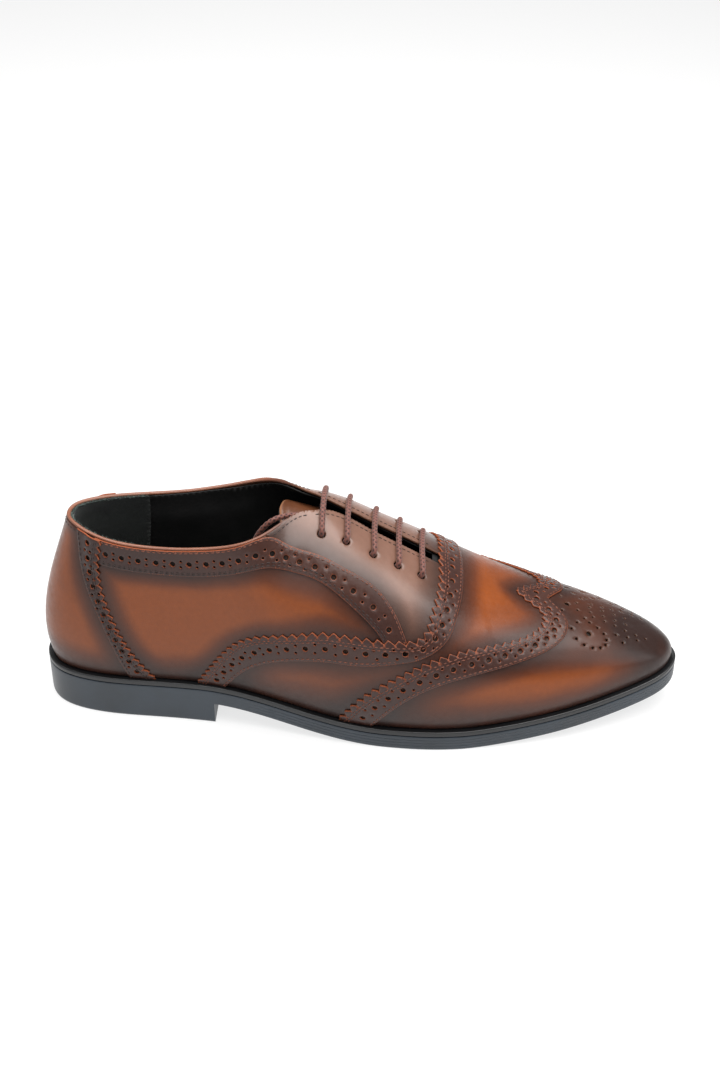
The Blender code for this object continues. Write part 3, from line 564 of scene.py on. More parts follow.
# Grain: the fine pebble of calf leather with its pores and faint creases.
grain_group, g_in, g_out = group("calf grain", (("Size", "f", 0.0006), ("Strength", "f", 1.0)),
                                 (("Height", "f"), ("Fine", "f")))
place = node(grain_group, "ShaderNodeTexCoord")
inverse = node(grain_group, "ShaderNodeMath", (0, 1.0), (1, g_in.outputs["Size"]), operation="DIVIDE")
pebble = node(grain_group, "ShaderNodeTexVoronoi", ("Vector", place.outputs["Object"]),
              ("Scale", inverse.outputs[0]), feature="F1")
half = node(grain_group, "ShaderNodeMath", (0, inverse.outputs[0]), (1, 0.23), operation="MULTIPLY")
creases = node(grain_group, "ShaderNodeTexNoise", ("Vector", place.outputs["Object"]),
               ("Scale", half.outputs[0]), Detail=4.0, Distortion=0.4)
mixed = node(grain_group, "ShaderNodeMath", (0, creases.outputs[0]), (1, pebble.outputs["Distance"]),
             operation="ADD")
weighed = node(grain_group, "ShaderNodeMath", (0, mixed.outputs[0]), (1, g_in.outputs["Strength"]),
               operation="MULTIPLY")
grain_group.links.new(weighed.outputs[0], g_out.inputs["Height"])
grain_group.links.new(creases.outputs[0], g_out.inputs["Fine"])

# Patina: hand-rubbed dye, darkest where the painted dye is strong, uneven like a cloth's strokes.
patina_and_shade_group, p_in, p_out = group("hand patina and painted shade", (("Unevenness", "f", 0.3), ("Patch", "f", 28.0)),
                                  (("Dark", "f"), ("Mottle", "f"), ("Raw", "f"), ("Painted shade", "f")))
place = node(patina_and_shade_group, "ShaderNodeTexCoord")
dye_and_shade = node(patina_and_shade_group, "ShaderNodeAttribute", attribute_name="dye_and_shade")
raw = node(patina_and_shade_group, "ShaderNodeAttribute", attribute_name="raw_edge")
# Painted shade: the painted value above 1, where a panel lies under a strip.
below = node(patina_and_shade_group, "ShaderNodeMath", (0, dye_and_shade.outputs["Fac"]), (1, 1.0), operation="SUBTRACT",
             use_clamp=True)
patches = node(patina_and_shade_group, "ShaderNodeTexNoise", ("Vector", place.outputs["Object"]),
               ("Scale", p_in.outputs["Patch"]), Detail=3.0, Roughness=0.55, Distortion=0.6)
fine = node(patina_and_shade_group, "ShaderNodeTexNoise", ("Vector", place.outputs["Object"]), Scale=420.0,
            Detail=3.0, Roughness=0.6)
centred = node(patina_and_shade_group, "ShaderNodeMath", (0, patches.outputs[0]), (1, 0.5), operation="SUBTRACT")
scaled = node(patina_and_shade_group, "ShaderNodeMath", (0, centred.outputs[0]), (1, p_in.outputs["Unevenness"]),
              operation="MULTIPLY")
dark = node(patina_and_shade_group, "ShaderNodeMath", (0, dye_and_shade.outputs["Fac"]), (1, scaled.outputs[0]),
            operation="ADD", use_clamp=True)
patina_and_shade_group.links.new(dark.outputs[0], p_out.inputs["Dark"])
patina_and_shade_group.links.new(fine.outputs[0], p_out.inputs["Mottle"])
patina_and_shade_group.links.new(raw.outputs["Fac"], p_out.inputs["Raw"])
patina_and_shade_group.links.new(below.outputs[0], p_out.inputs["Painted shade"])


def calf(name, bright, warm, deep, cut, sheen=(0.30, 0.46), coat=0.2, grain=0.0006, uneven=0.5):
    """Burnished calf leather: three dyes from bright to deep, and a raw cut edge."""
    mat, tree, shader = shader_tree(name)
    rubbed = use(tree, patina_and_shade_group, ("Unevenness", uneven))
    dyes = stops(node(tree, "ShaderNodeValToRGB", (0, rubbed.outputs["Dark"])),
                 (0.0, bright), (0.42, warm), (1.0, deep))
    specks = node(tree, "ShaderNodeMapRange", (0, rubbed.outputs["Mottle"]), (3, 0.86), (4, 1.12))
    mottled = node(tree, "ShaderNodeMix", (6, dyes.outputs[0]), (7, specks.outputs[0]),
                   data_type="RGBA", blend_type="MULTIPLY", clamp_result=False)
    mottled.inputs[0].default_value = 1.0
    # Painted shade: the panel under a strip, seen only at the bottom of its punched holes, goes nearly
    # black.
    painted_shade_under_strips = node(tree, "ShaderNodeMix", (0, rubbed.outputs["Painted shade"]), (6, mottled.outputs[2]),
                  (7, (0.006, 0.004, 0.003, 1)), data_type="RGBA")
    edged = node(tree, "ShaderNodeMix", (0, rubbed.outputs["Raw"]), (6, painted_shade_under_strips.outputs[2]),
                 (7, (*cut, 1)), data_type="RGBA")
    tree.links.new(edged.outputs[2], shader.inputs["Base Color"])
    pebbles = use(tree, grain_group, ("Size", grain))
    gloss = node(tree, "ShaderNodeMapRange", (0, pebbles.outputs["Fine"]), (1, 0.3), (2, 0.7),
                 (3, sheen[0]), (4, sheen[1]))
    rough = node(tree, "ShaderNodeMath", (0, rubbed.outputs["Raw"]), (1, rubbed.outputs["Painted shade"]),
                 operation="ADD", use_clamp=True)
    matt = node(tree, "ShaderNodeMix", (0, rough.outputs[0]), (2, gloss.outputs[0]), (3, 0.85))
    tree.links.new(matt.outputs[0], shader.inputs["Roughness"])
    waxed = node(tree, "ShaderNodeMapRange", (0, rough.outputs[0]), (3, coat), (4, 0.0))
    tree.links.new(waxed.outputs[0], shader.inputs["Coat Weight"])
    bump = node(tree, "ShaderNodeBump", ("Height", pebbles.outputs["Height"]), Strength=0.22,
                Distance=0.00012)
    tree.links.new(bump.outputs[0], shader.inputs["Normal"])
    shader.inputs["Coat Roughness"].default_value = 0.22
    shader.inputs["Specular IOR Level"].default_value = 0.3
    return mat


# ---------------------------------------------------------------- seams
# Where the pieces of the upper meet. Each strip is given by its two edges, as (s, v) pairs.
PANEL = 1.1 * MM
STRIP = 0.9 * MM
STRIP_LIFT = 0.06 * MM           # a glued strip lies flat on the panel
FACING_EDGE_V = 1.0 - 8.4 * MM / 2 / OVER_FACINGS
CORNER = 0.472
COUNTER_STRIP = (                # stitched edge, pinked edge
    ((0.186, 0.0), (0.222, 0.0)),
    ((0.166, 0.25), (0.188, 0.25)),
    ((0.139, 0.50), (0.159, 0.50)),
    ((0.103, 0.78), (0.134, 0.78)),
    ((0.085, 1.0), (0.136, 1.0)),
)
FACING_STRIP = (                 # upper edge, lower edge
    ((0.124, 1.0), (0.121, 0.838)),
    ((0.233, 1.0), (0.233, 0.832)),
    ((0.300, 1.0), (0.300, 0.828)),
    ((0.360, 1.0), (0.360, 0.845)),
    ((0.405, 0.985), (0.403, 0.838)),
    ((0.430, 0.905), (0.427, 0.790)),
    ((0.453, 0.824), (0.451, 0.722)),
    ((0.486, 0.745), (0.484, 0.635)),
    ((0.518, 0.705), (0.512, 0.570)),
    ((0.550, 0.680), (0.532, 0.527)),
    ((0.571, 0.605), (0.545, 0.490)),
    ((0.582, 0.500), (0.551, 0.460)),
    ((0.584, 0.472), (0.553, 0.436)),
)
VAMP_STRIP = (                   # pinked edge, stitched edge
    ((0.280, 0.0), (0.318, 0.0)),
    ((0.315, 0.250), (0.346, 0.160)),
    ((0.345, 0.385), (0.378, 0.262)),
    ((0.388, 0.455), (0.412, 0.312)),
    ((0.440, 0.452), (0.455, 0.318)),
    ((0.507, 0.430), (0.507, 0.314)),
    ((0.560, 0.462), (0.560, 0.362)),
    ((0.604, 0.520), (0.612, 0.450)),
    ((0.621, 0.640), (0.640, 0.560)),
    ((0.632, 0.750), (0.656, 0.690)),
    ((0.640, 0.880), (0.670, 0.860)),
    ((0.641, 1.0), (0.674, 1.0)),
)
WING_STRIP = (                   # pinked edge, stitched edge
    ((0.481, 0.0), (0.525, 0.0)),
    ((0.509, 0.136), (0.551, 0.114)),
    ((0.558, 0.282), (0.592, 0.240)),
    ((0.609, 0.407), (0.645, 0.348)),
    ((0.662, 0.510), (0.700, 0.430)),
    ((0.717, 0.591), (0.745, 0.500)),
    ((0.764, 0.680), (0.790, 0.595)),
    ((0.789, 0.790), (0.818, 0.720)),
    ((0.790, 0.870), (0.826, 0.850)),
    ((0.773, 0.935), (0.819, 0.930)),
    ((0.757, 1.0), (0.808, 1.0)),
)
EYELETS = ((0.614, 0.840), (0.583, 0.838), (0.551, 0.837), (0.516, 0.838), (0.483, 0.852))


def side_of(strip, share):
    """A line of (s, v) points between the two edges of a strip: 0 its first, 1 its second."""
    first = np.array([row[0] for row in strip])
    second = np.array([row[1] for row in strip])
    return first + (second - first) * share


def mirrored(outline):
    """An outline and its twin on the inner side."""
    return [outline, (outline * (-1, 1))[::-1]]


# How dark each place of the upper is made: dyed dark along every strip and at the toe, darker
# towards the sole, left bright in the middle of the quarters, on the vamp and along the wings, and
# nearly black under the strips as painted shade for the bottoms of their punched holes.
STRIP_LINES = [walk(side_of(strip, share), 2.5 * MM) * SCALE for share in (0, 1)
               for strip in (COUNTER_STRIP, FACING_STRIP, VAMP_STRIP, WING_STRIP)]
STRIP_PAIRS = np.concatenate([np.stack([line[:-1], line[1:]], 1) for line in STRIP_LINES])
STRIP_AREAS = [np.vstack([walk(side_of(strip, 0), 2.5 * MM), walk(side_of(strip, 1), 2.5 * MM)[::-1]])
               for strip in (COUNTER_STRIP, FACING_STRIP, VAMP_STRIP, WING_STRIP)]


def dye_and_shade_of(flat):
    """0 for bright tan up to 1 for deep brown, and up to 2 under the strips, where above 1 is painted
    shade.
    """
    s, v = np.abs(flat[:, 0]), flat[:, 1]
    folded = np.stack([s, v], 1)
    gap = distance(folded * SCALE, STRIP_PAIRS)
    along_strips = 1 - smooth(gap, 0.0, 13 * MM)
    # Darker towards the sole.
    at_sole = 1 - smooth(v, 0.03, 0.30)
    at_toe = smooth(s, 0.84, 0.97)
    wing = smooth(s, 0.50, 0.60) * smooth(v, 0.36, 0.52) * smooth(s - v * 0.20, 0.52, 0.66)
    top = smooth(v, 0.90, 1.0) * (1 - smooth(s, 0.40, 0.45))
    back = (1 - smooth(s, 0.0, 0.06)) * smooth(v, 0.45, 0.9) * 0.4
    dark = 1 - (1 - 0.84 * along_strips) * (1 - 0.90 * at_sole) * (1 - 0.92 * at_toe)
    dark = 1 - (1 - dark) * (1 - 0.45 * wing) * (1 - 0.6 * top) * (1 - back)
    # Painted shade: under each strip the panel goes nearly black, for the bottoms of its punched holes.
    for area in STRIP_AREAS:
        dark = np.where(inside(folded, area), 1 + smooth(gap, 2.2 * MM, 3.2 * MM), dark)
    return dark


# ---------------------------------------------------------------- moulded sole and heel
# One piece of black rubber from toe to heel, moulded with a plain wall, three fine lines round
# the forepart, rounded rims and a flat tread, and cemented under the welt.
SOLE_TOP = 2.7 * MM              # below the upper's seat, where the welt lies on it
SOLE_WALL = SOLE_THICKNESS - SOLE_TOP
BREAST = HEEL_LENGTH - HEEL_CENTRE
LINE_DEPTH = 0.22 * MM
SOLE_ROWS = (                    # share of the wall's height down from the top, inset in mm
    (0.000, 0.50), (0.020, 0.20), (0.060, 0.04), (0.110, 0.00), (0.240, 0.00), (0.262, -1.0),
    (0.290, 0.00), (0.470, 0.00), (0.492, -1.0), (0.520, 0.00), (0.700, 0.00), (0.722, -1.0),
    (0.750, 0.00), (0.880, 0.00), (0.940, 0.04), (0.980, 0.20), (1.000, 0.50))
HEEL_ROWS = (                    # share of the heel's height down to the ground, inset in mm
    (0.15, 0.0), (0.40, 0.0), (0.65, 0.0), (0.85, 0.0), (0.93, 0.05), (0.975, 0.22), (1.0, 0.55))


def rubber(name, colour, rough, speckle):
    """Moulded black rubber: faint flow mottling and a satin skin."""
    mat, tree, shader = shader_tree(name)
    place = node(tree, "ShaderNodeTexCoord")
    broad = node(tree, "ShaderNodeTexNoise", ("Vector", place.outputs["Object"]), Scale=36.0, Detail=4.0)
    fine = node(tree, "ShaderNodeTexNoise", ("Vector", place.outputs["Object"]), Scale=2600.0, Detail=2.0)
    tint = stops(node(tree, "ShaderNodeValToRGB", (0, broad.outputs[0])),
                 (0.30, tuple(c * 0.75 for c in colour)), (0.70, tuple(c * 1.35 for c in colour)))
    tree.links.new(tint.outputs[0], shader.inputs["Base Color"])
    both = node(tree, "ShaderNodeMath", (0, broad.outputs[0]), (1, fine.outputs[0]), operation="MULTIPLY")
    gloss = node(tree, "ShaderNodeMapRange", (0, both.outputs[0]), (1, 0.1), (2, 0.45),
                 (3, rough[0]), (4, rough[1]))
    tree.links.new(gloss.outputs[0], shader.inputs["Roughness"])
    bump = node(tree, "ShaderNodeBump", ("Height", fine.outputs[0]), Strength=speckle, Distance=0.0001)
    tree.links.new(bump.outputs[0], shader.inputs["Normal"])
    shader.inputs["Specular IOR Level"].default_value = 0.6
    return mat


# Both are one black rubber: the sole's wall is tinted lighter and slate blue as painted reflection of the
# pale floor, and the welt is kept near black as painted shade in the groove under the upper.
sole_rubber = rubber("sole rubber", (0.020, 0.028, 0.038), (0.32, 0.48), 0.25)
welt_rubber = rubber("welt rubber", (0.008, 0.0085, 0.0095), (0.28, 0.42), 0.15)


def plan_fill(ring, cell):
    """Flat points and triangles over an outline in plan."""
    low, high = ring.min(0), ring.max(0)
    x, y = np.meshgrid(np.arange(low[0], high[0], cell), np.arange(low[1], high[1], cell))
    grid = np.stack([x.ravel(), y.ravel()], 1)
    grid = grid[inside(grid, ring)]
    grid = grid[distance(grid, closed_pairs(ring)) > 0.6 * cell]
    rim = [(i, (i + 1) % len(ring)) for i in range(len(ring))]
    flat, _, faces, *_ = delaunay_2d_cdt([Vector(p) for p in np.vstack([ring, grid])], rim,
                                         [list(range(len(ring)))], 1, 1e-8)
    return np.array([tuple(p) for p in flat]), np.array(faces)


def station_at(x, side):
    """The station where the sole's edge passes a given x on one side."""
    s = np.linspace(0.02, 0.98, 2000) * side
    return s[np.abs(edge(s)[0][:, 0] - x).argmin()]


breast_out, breast_in = station_at(BREAST, 1), station_at(BREAST, -1)
front = np.linspace(breast_out, 2 + breast_in, 560)
back = np.linspace(breast_in, breast_out, 240)
stations = (np.r_[back, front[1:-1]] + 1) % 2 - 1


def wall_point(s, inset, height):
    """Points of the wall at stations of the sole's edge, at heights given by x."""
    p = edge(s, inset)[0]
    return np.column_stack([p, height(p[:, 0])])


verts, faces = [], []
over = edge(stations)[0][:, 0] <= BREAST + 0.5 * MM
forepart = smooth(edge(stations)[0][:, 0], BREAST + 6 * MM, BREAST + 45 * MM)
ring_size = len(stations)
for share, inset in SOLE_ROWS:
    line = np.full(ring_size, inset * MM) if inset >= 0 else LINE_DEPTH * forepart
    line = np.where(over & (share > 0.5), 0.0, line)
    verts.append(wall_point(stations, line, lambda x: seat(x) - SOLE_TOP - share * SOLE_WALL))
for row in range(len(SOLE_ROWS) - 1):
    for i in range(ring_size):
        j = (i + 1) % ring_size
        faces.append((row * ring_size + i, (row + 1) * ring_size + i,
                      (row + 1) * ring_size + j, row * ring_size + j))
count = ring_size * len(SOLE_ROWS)
heel = len(back)
last = count - ring_size + np.arange(heel)
for share, inset in HEEL_ROWS:
    verts.append(wall_point(stations[:heel], np.full(heel, inset * MM), lambda x: tread(x) * (1 - share)))
    now = count + np.arange(heel)
    faces += [(last[i], now[i], now[i + 1], last[i + 1]) for i in range(heel - 1)]
    last, count = now, count + heel
breast_steps = np.linspace(0, 1, 41)
side_rows = [ring_size * (len(SOLE_ROWS) - 1) + np.array([0, heel - 1])]
side_rows += [ring_size * len(SOLE_ROWS) + k * heel + np.array([0, heel - 1])
              for k in range(len(HEEL_ROWS))]
wall = np.vstack(verts)
across = []
for inner, outside in side_rows:
    a, b = wall[inner], wall[outside]
    row = a + (b - a) * breast_steps[:, None]
    middle = np.arange(count, count + len(row) - 2)
    verts.append(row[1:-1])
    count += len(row) - 2
    across.append(np.r_[inner, middle, outside])
for upper, lower in zip(across, across[1:]):
    faces += [(upper[i + 1], lower[i + 1], lower[i], upper[i]) for i in range(len(upper) - 1)]


def cap(indices, height, turn, cell):
    """Close the mesh over a ring of its points, at heights given by x."""
    global count
    points = np.vstack(verts)[indices]
    flat, tris = plan_fill(points[:, :2], cell)
    inner = flat[len(indices):]
    verts.append(np.column_stack([inner, height(inner[:, 0])]))
    index = np.r_[indices, count + np.arange(len(inner))]
    count += len(inner)
    faces.extend(index[tris if turn else tris[:, ::-1]].tolist())


low_ring = ring_size * (len(SOLE_ROWS) - 1)
fore = np.r_[low_ring + np.arange(heel - 1, ring_size), low_ring, across[0][1:-1]]
cap(np.arange(ring_size)[::-1], lambda x: seat(x) - SOLE_TOP, True, 5 * MM)
cap(fore[::-1], tread, False, 3 * MM)
cap(np.r_[last, across[-1][1:-1][::-1]][::-1], lambda x: 0 * x, False, 5 * MM)
sole = make_piece("sole", np.vstack(verts), faces, sole_rubber, crease=0.6)
fit(sole, "shoe", "black_rubber", "sole_unit")

# ---------------------------------------------------------------- welt
# A flat strip of rubber that runs all round between the sole and the upper, with a soft lip.
WELT_ROWS = (                    # inset and depth below the seat, in mm
    (9.0, 0.0), (1.6, 0.0), (0.9, -0.10), (0.45, -0.12), (0.16, 0.05), (0.02, 0.35), (0.0, 0.8),
    (0.0, 1.7), (0.05, 2.1), (0.3, 2.36), (0.7, 2.4), (9.0, 2.4))
WELT_STEPS = 800
stations = np.linspace(-1, 1, WELT_STEPS, endpoint=False)
verts = np.vstack([wall_point(stations, np.full(WELT_STEPS, inset * MM), lambda x: seat(x) - down * MM)
                   for inset, down in WELT_ROWS])
faces = []
for row in range(len(WELT_ROWS)):
    here, following = row * WELT_STEPS, (row + 1) % len(WELT_ROWS) * WELT_STEPS
    for i in range(WELT_STEPS):
        j = (i + 1) % WELT_STEPS
        faces.append((here + i, following + i, following + j, here + j))
welt = make_piece("welt", verts, faces, welt_rubber, turn_out=False, crease=0.9)
fit(welt, "shoe", "black_rubber", "welt")

# ---------------------------------------------------------------- panels
# Heel counter, two quarters, two lace facings, vamp and winged toe cap, clicked from one tan
# calf skin, dyed by hand after lasting, and joined edge to edge under the strips.
tan_calf = calf("tan calf", (0.205, 0.047, 0.0070), (0.098, 0.023, 0.0058), (0.021, 0.0086, 0.0062),
                (0.10, 0.04, 0.02))
# The facings are a brown leather of their own; its greyer, less saturated taupe tone is partly painted
# sheen.
taupe_calf = calf("taupe calf", (0.170, 0.086, 0.060), (0.098, 0.046, 0.031), (0.030, 0.0145, 0.0110),
                  (0.10, 0.04, 0.02), sheen=(0.30, 0.44), coat=0.45, uneven=0.25)
FINE = 1.6 * MM
EYELET_RADIUS = 1.9 * MM


def mid(strip):
    """The joint under a strip, along its middle."""
    return walk(side_of(strip, 0.5), FINE)


def eyelet_holes(side):
    """Five plain punched eyelets on one side."""
    return [punched((side * s, v), EYELET_RADIUS, 16) for s, v in EYELETS]


counter_line, vamp_line, wing_line = mid(COUNTER_STRIP), mid(VAMP_STRIP), mid(WING_STRIP)
facing_line = walk([(0.402, 1.0), (0.420, 0.900)] + side_of(FACING_STRIP[6:], 0.5).tolist(), FINE)
meeting = int(np.linalg.norm((vamp_line - facing_line[-1]) * SCALE, axis=1).argmin())
facing_line[-1] = vamp_line[meeting]
quarter_outline = loop(counter_line[::-1], walk([counter_line[0], vamp_line[0]], FINE),
                       vamp_line[:meeting + 1], facing_line[::-1],
                       walk([facing_line[0], counter_line[-1]], FINE))
throat = np.array([vamp_line[-1][0] - 0.004, FACING_EDGE_V])
corner = np.array([CORNER, FACING_EDGE_V + 0.012])
side_front = vamp_line[meeting:-1]
side_front = side_front[side_front[:, 1] < FACING_EDGE_V - 0.03]
facing_outline = loop(facing_line, np.vstack([side_front, throat]), walk([throat, corner], FINE),
                      walk([corner, (0.452, 1.0), facing_line[0]], FINE))
BIG_HOLE = 1.25 * MM
SMALL_HOLE = 0.62 * MM
ALONG, UP = (np.linalg.norm(slope) for slope in slopes(np.array([0.84]), np.array([0.97])))
turn = np.linspace(np.pi, 2 * np.pi, 9)
crown = np.stack([0.840 + BIG_HOLE / ALONG * np.cos(turn), 1.0 + BIG_HOLE / UP * np.sin(turn)], 1)
cap_outline = loop(wing_line, walk([wing_line[-1], crown[0]], FINE), crown,
                   walk([crown[-1], (1.0, 1.0)], FINE), walk([(1.0, 1.0), (1.0, 0.0)], FINE),
                   walk([(1.0, 0.0), wing_line[0]], FINE))
vamp_outline = loop(vamp_line, walk([vamp_line[-1], wing_line[-1]], FINE), wing_line[::-1],
                    walk([wing_line[0], vamp_line[0]], FINE))
counter_inner = counter_line * (-1, 1)
counter_outline = np.vstack([counter_line[:-1], walk([counter_line[-1], counter_inner[-1]], FINE)[:-1],
                             counter_inner[:0:-1], walk([counter_inner[0], counter_line[0]], FINE)[:-1]])

# The medallion: on each side a large hole half ringed by small ones, a flourish that climbs from
# it to the ridge and runs on to the toe, a few holes between, and one large hole on the ridge.
heart = np.array([0.851, 0.713])
along, up = slopes(heart[:1], heart[1:])
HEART_SCALE = np.array([np.linalg.norm(along), np.linalg.norm(up)])
HEART_RING = 8.2 * MM
medallion = [(heart, BIG_HOLE)]
for turn in np.linspace(3.5, 7.3, 9):
    place = heart + HEART_RING * np.array([np.cos(turn), np.sin(turn)]) / HEART_SCALE
    medallion.append((place, SMALL_HOLE * 1.1))
for place in ((0.829, 0.757), (0.843, 0.822), (0.859, 0.876), (0.877, 0.912), (0.895, 0.885),
              (0.910, 0.845), (0.923, 0.785), (0.937, 0.715), (0.951, 0.640), (0.896, 0.720),
              (0.897, 0.620), (0.914, 0.690), (0.929, 0.640), (0.827, 0.925), (0.855, 0.958),
              (0.878, 0.966), (0.902, 0.955), (0.926, 0.935), (0.950, 0.900)):
    medallion.append((np.array(place), SMALL_HOLE))
medallion_holes = [punched(place * (side, 1), size, 10) for place, size in medallion for side in (1, -1)]


def cap_dye_and_shade(flat):
    """The cap is rubbed dark over its top and tip, above one bright streak along each wing."""
    tip = smooth(np.abs(flat[:, 0]) - 0.12 * flat[:, 1], 0.76, 0.89)
    return 1 - (1 - dye_and_shade_of(flat)) * (1 - 0.60 * smooth(flat[:, 1], 0.31, 0.48)) * (1 - 0.85 * tip)


counter = leather("counter", [counter_outline], 0, PANEL, tan_calf, dye_and_shade=dye_and_shade_of)
fit(counter, "shoe", "tan_leather", "counter")
for side, turned in (("lateral", 1), ("medial", -1)):
    outline = quarter_outline if turned == 1 else mirrored(quarter_outline)[1]
    piece = leather("quarter_" + side, [outline], 0, PANEL, tan_calf, dye_and_shade=dye_and_shade_of)
    fit(piece, "shoe", "tan_leather", "quarter_" + side)
    outline = facing_outline if turned == 1 else mirrored(facing_outline)[1]
    piece = leather("facing_" + side, [outline], 0, PANEL, taupe_calf, eyelet_holes(turned), dye_and_shade=dye_and_shade_of)
    fit(piece, "shoe", "brown_leather", "facing_" + side)
vamp = leather("vamp", mirrored(vamp_outline), 0, PANEL, tan_calf, dye_and_shade=dye_and_shade_of)
fit(vamp, "shoe", "tan_leather", "vamp")
toe_cap = leather("toe_cap", mirrored(cap_outline), 0, PANEL, tan_calf, medallion_holes, dye_and_shade=cap_dye_and_shade)
fit(toe_cap, "shoe", "tan_leather", "toe_cap")

# ---------------------------------------------------------------- strips
# Darker strips glued and sewn over every seam: pinked with a toothed iron along one edge and
# punched with large holes that take turns with pairs of small ones.
dark_calf = calf("dark calf", (0.068, 0.025, 0.0155), (0.038, 0.0145, 0.0105), (0.017, 0.0078, 0.0065),
                 (0.26, 0.062, 0.020), sheen=(0.28, 0.42), grain=0.0005, uneven=0.7)
TOOTH = 4.9 * MM
TOOTH_DEPTH = 1.9 * MM
HOLE_PITCH = 9.0 * MM


def pinked(line, outward):
    """The line cut into even teeth; outward is +1 if the teeth point to its left."""
    run = np.r_[0, np.cumsum(np.linalg.norm(np.diff(line * SCALE, axis=0), axis=1))]
    teeth = max(int(round(run[-1] / TOOTH)), 2)
    places = np.linspace(0, run[-1], teeth * 6 + 1)
    even = np.stack([np.interp(places, run, line[:, k]) for k in (0, 1)], 1)
    wave = np.tile([0.0, 0.34, 0.70, 0.98, 0.70, 0.34], teeth + 1)[:len(places)] - 0.5
    along = unit(np.gradient(even * SCALE, axis=0))
    left = np.stack([-along[:, 1], along[:, 0]], 1)
    cut = even + left * (wave * TOOTH_DEPTH * outward)[:, None] / SCALE
    cut[0], cut[-1] = line[0], line[-1]
    return cut


def strip_holes(strip, start, stop, offset=1.9 * MM):
    """Large holes down the middle of a strip, with a pair of small ones between each two."""
    line = walk(side_of(strip, 0.52), 0.5 * MM)
    run = np.r_[0, np.cumsum(np.linalg.norm(np.diff(line * SCALE, axis=0), axis=1))]
    count = int((run[-1] - start - stop) / HOLE_PITCH)
    pitch = (run[-1] - start - stop) / count
    left, right = beside(line, offset), beside(line, -offset)
    found = []
    for k in range(2 * count + 1):
        i = min(np.searchsorted(run, start + k * pitch / 2), len(line) - 1)
        if k % 2 == 0:
            found.append((line[i], BIG_HOLE))
        else:
            found += [(left[i], SMALL_HOLE), (right[i], SMALL_HOLE)]
    return found


def strip_piece(name, strip, teeth, outward, start, stop, sides, lift=STRIP_LIFT):
    """One strip over one or both sides; teeth is the index of its pinked edge, or None."""
    step = 1.1 * MM
    lines = [walk(side_of(strip, k), step) for k in (0, 1)]
    if teeth is not None:
        lines[teeth] = pinked(walk(side_of(strip, teeth), 0.4 * MM), outward)
    first, second = lines
    outline = loop(first, walk([first[-1], second[-1]], step), second[::-1],
                   walk([second[0], first[0]], step))
    punch = strip_holes(strip, start, stop)
    pair = mirrored(outline)
    shapes = [pair[0] if side == 1 else pair[1] for side in sides]
    holes = [punched(place * (side, 1), size, 12 if size == BIG_HOLE else 8)
             for place, size in punch for side in sides if place[1] < 0.985]
    above = lift if callable(lift) else (lambda s, v: np.full(len(s), lift))
    return leather(name, shapes, lambda s, v: -STRIP - above(s, v), STRIP, dark_calf, holes,
                   cell=1.5 * MM, roll=0.32 * MM,
                   dye_and_shade=lambda flat: 0.35 + 0.3 * smooth(np.abs(flat[:, 0]), 0.3, 0.1))


def over_counter(s, v):
    """The counter strip climbs over the end of the collar strip."""
    return STRIP_LIFT + 1.0 * MM * smooth(v, 0.76, 0.83) * smooth(np.abs(s), 0.100, 0.120)


def over_facing(s, v):
    """The vamp strip climbs over the end of the facing strip."""
    near = smooth(np.abs(s), 0.520, 0.548) * (1 - smooth(np.abs(s), 0.588, 0.612))
    return STRIP_LIFT + 1.0 * MM * near * smooth(v, 0.36, 0.43)


for side, turned in (("lateral", 1), ("medial", -1)):
    piece = strip_piece("counter_strip_" + side, COUNTER_STRIP, 1, -1, 7 * MM, 5 * MM, (turned,),
                        over_counter)
    fit(piece, "shoe", "dark_leather", "counter_strip_" + side)
    piece = strip_piece("facing_strip_" + side, FACING_STRIP, None, 0, 7 * MM, 7 * MM, (turned,))
    fit(piece, "shoe", "dark_leather", "facing_strip_" + side)
piece = strip_piece("vamp_strip", VAMP_STRIP, 0, 1, 6 * MM, 3 * MM, (1, -1), over_facing)
fit(piece, "shoe", "dark_leather", "vamp_strip")
piece = strip_piece("wing_strip", WING_STRIP, 0, 1, 6 * MM, 3 * MM, (1, -1))
fit(piece, "shoe", "dark_leather", "wing_strip")

# ---------------------------------------------------------------- linings
# Black glove leather behind the quarters and the vamp, cemented in, with a heel grip of black
# split suede that stands a little above the topline as a fuzzy rim.
LINING = 0.8 * MM
LINING_GAP = 2 * GAP
STIFFENER = 0.9 * MM
LINING_REAR = 0.19
LINING_FRONT = 0.634


def lining_leather(name, dark, light, rough, size, strength, distance_mm, sheen=0.0):
    """Matt black leather or suede: a cloudy nap over a short pile or a fine grain."""
    mat, tree, shader = shader_tree(name)
    place = node(tree, "ShaderNodeTexCoord")
    cloud = node(tree, "ShaderNodeTexNoise", ("Vector", place.outputs["Object"]), Scale=70.0, Detail=5.0)
    pile = node(tree, "ShaderNodeTexNoise", ("Vector", place.outputs["Object"]), Scale=1 / size,
                Detail=4.0, Roughness=0.7)
    both = node(tree, "ShaderNodeMath", (0, cloud.outputs[0]), (1, pile.outputs[0]), operation="MULTIPLY")
    tint = stops(node(tree, "ShaderNodeValToRGB", (0, both.outputs[0])), (0.16, dark), (0.36, light))
    tree.links.new(tint.outputs[0], shader.inputs["Base Color"])
    gloss = node(tree, "ShaderNodeMapRange", (0, pile.outputs[0]), (3, rough[0]), (4, rough[1]))
    tree.links.new(gloss.outputs[0], shader.inputs["Roughness"])
    bump = node(tree, "ShaderNodeBump", ("Height", pile.outputs[0]), Strength=strength,
                Distance=distance_mm * MM)
    tree.links.new(bump.outputs[0], shader.inputs["Normal"])
    shader.inputs["Sheen Weight"].default_value = sheen
    shader.inputs["Sheen Roughness"].default_value = 0.4
    shader.inputs["Specular IOR Level"].default_value = 0.3
    return mat


